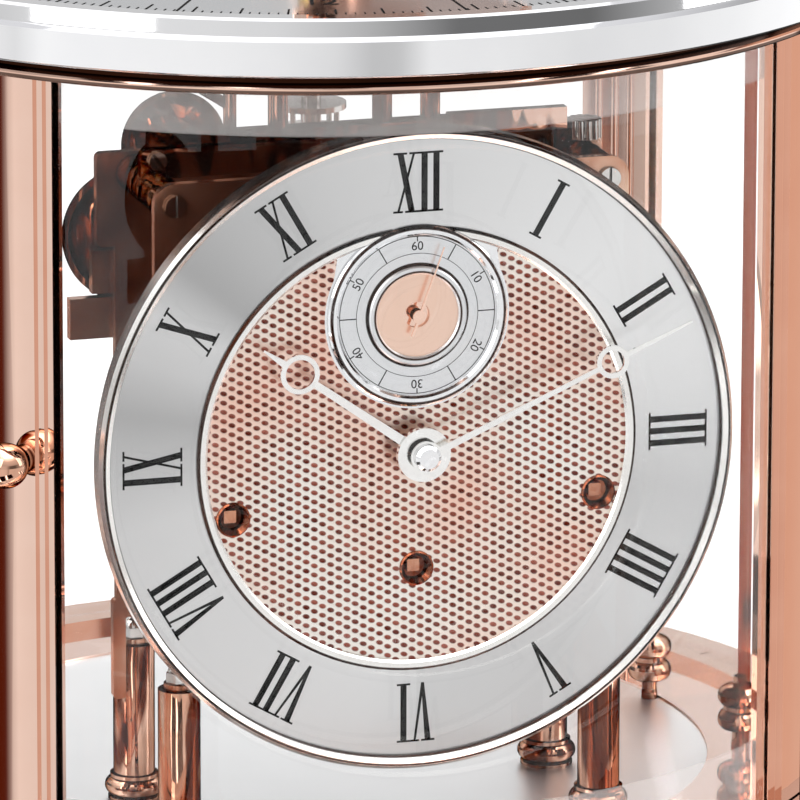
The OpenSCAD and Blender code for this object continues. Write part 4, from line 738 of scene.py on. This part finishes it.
lifted = g.add("GeometryNodeTransform", {"Geometry": many.outputs[0], "Translation": lift.outputs[0]})
real = g.add("GeometryNodeRealizeInstances", {"Geometry": lifted.outputs[0]})
inked = g.add("GeometryNodeSetMaterial", {"Geometry": real.outputs[0], "Material": given["Material"]})
g.links.new(inked.outputs[0], result.inputs[0])


def grown(name, tree, **values):
    """The result of a geometry tree as a plain mesh object."""
    host = bpy.data.objects.new(name + "_host", bpy.data.meshes.new(name + "_host"))
    scene.collection.objects.link(host)
    modifier = host.modifiers.new("tree", "NODES")
    modifier.node_group = tree
    for socket in tree.interface.items_tree:
        if socket.in_out == "INPUT" and socket.name in values:
            modifier[socket.identifier] = values[socket.name]
    bpy.context.view_layer.update()
    mesh = bpy.data.meshes.new_from_object(host.evaluated_get(bpy.context.evaluated_depsgraph_get()))
    mesh.name = name
    host.modifiers.remove(modifier)
    bpy.data.objects.remove(host)
    piece = bpy.data.objects.new(name, mesh)
    scene.collection.objects.link(piece)
    return piece


for name, count, radius, length, width in (("day_strokes", 365, 0.1285, 0.0032, 0.00035),
                                           ("five_day_strokes", 73, 0.1265, 0.0070, 0.0005),
                                           ("month_strokes", 12, 0.1185, 0.0220, 0.0006)):
    strokes = grown(name, tree, Count=count, Radius=radius, Length=length, Width=width, Depth=stroke_depth,
                    Height=plate_top + stroke_lift, Material=ink)
    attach(strokes, "case")

month_place = Matrix.Translation((0, -0.1150, plate_top + 0.00003))
numbers = []
for month in range(12):
    mesh = printed_number(month + 1, 0.0085)
    mesh.transform(Matrix.Rotation(math.radians(30 * month + 15), 4, "Z") @ month_place)
    numbers.append(mesh)
months = join_meshes("month_numbers", numbers, ink)
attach(months, "case")

# Arm and sun
# Copper-plated arms carry the earth round a gilt ball, the sun, which stands on a slim column over the
# plate's middle.
gilt = metal("bright_gilt", (0.95, 0.72, 0.32), (0.86, 0.58, 0.20), 0.10, 0.05, 120.0)
finish_node(copper, "sun_column", "orbit_arm", "earth_carrier")
finish_node(gilt, "sun")

# Globe
# Enamelled on its leaning axis: blue sea, green and sand land in rough outlines and white poles, under a
# clear coat.
globe_middle, axis_lean = (0.0, -0.085, 0.2998), math.radians(-23.5)
globe_finish, n = new_material("globe_enamel")
upright = n.add("ShaderNodeVectorRotate", {"Vector": arm_from(n, globe_middle), "Angle": axis_lean},
                rotation_type="Y_AXIS").outputs[0]
unit = n.add("ShaderNodeVectorMath", {0: upright}, operation="NORMALIZE").outputs[0]
coast = n.add("ShaderNodeTexNoise", {"Vector": unit, "Scale": 3.2, "Detail": 5.0,
                                     "Roughness": 0.6}).outputs["Fac"]
land = None
# Each round patch of land: its latitude, its longitude and how far it reaches, in degrees.
for lat, lon, reach in (
        (52, -100, 26), (40, -95, 18), (18, -98, 7), (62, -150, 12), (72, -40, 13), (-5, -60, 19),
        (-25, -62, 15), (-43, -70, 9), (20, 5, 20), (8, 25, 19), (-18, 26, 16), (47, 12, 12), (60, 40, 18),
        (60, 90, 24), (35, 95, 22), (52, 125, 18), (22, 78, 11), (24, 45, 11), (15, 102, 8), (0, 114, 8),
        (-25, 134, 16), (64, 160, 12)):
    a, b, edge = math.radians(lat), math.radians(lon), math.cos(math.radians(reach))
    middle = (math.cos(a) * math.sin(b), -math.cos(a) * math.cos(b), math.sin(a))
    near = n.add("ShaderNodeVectorMath", {0: unit, 1: middle}, operation="DOT_PRODUCT").outputs["Value"]
    rise = n.math("DIVIDE", n.math("SUBTRACT", near, edge), 1 - edge)
    land = rise if land is None else n.math("MAXIMUM", land, rise)
shore = n.math("MULTIPLY_ADD", n.math("SUBTRACT", coast, 0.5), 1.3, land)
height = n.add("ShaderNodeSeparateXYZ", {"Vector": unit}).outputs["Z"]
ice = n.math("GREATER_THAN", n.math("MULTIPLY_ADD", coast, 0.06, n.math("ABSOLUTE", height)), 0.965)
soil = n.ramp(coast, (0.35, (0.055, 0.14, 0.035)), (0.52, (0.20, 0.25, 0.07)), (0.68, (0.52, 0.36, 0.15)))
sea = n.ramp(coast, (0.3, (0.012, 0.07, 0.21)), (0.7, (0.03, 0.13, 0.33)))
colour = n.mix(n.math("GREATER_THAN", shore, 0.0), sea, soil)
surface(n, {"Base Color": n.mix(ice, colour, (0.85, 0.88, 0.9, 1.0)),
            "Roughness": n.math("MULTIPLY_ADD", coast, 0.1, 0.18), "Coat Weight": 0.4,
            "Coat Roughness": 0.05})
finish_node(globe_finish, "globe")

# Moon
# An ivory ball on a bent wire, with darker seas and shallow craters. It goes round the globe as the arm
# goes round the sun.
ivory, n = new_material("moon_ivory")
place = n.add("ShaderNodeTexCoord").outputs["Object"]
seas = n.add("ShaderNodeTexNoise", {"Vector": place, "Scale": 420.0, "Detail": 4.0}).outputs["Fac"]
craters = n.add("ShaderNodeTexVoronoi", {"Vector": place, "Scale": 900.0}).outputs["Distance"]
relief = n.add("ShaderNodeBump", {"Height": craters, "Strength": 0.4, "Distance": 0.0002})
surface(n, {"Base Color": n.ramp(seas, (0.4, (0.55, 0.53, 0.48)), (0.6, (0.82, 0.80, 0.73))),
            "Roughness": 0.45, "Normal": relief.outputs[0]})
finish_node(ivory, "moon")
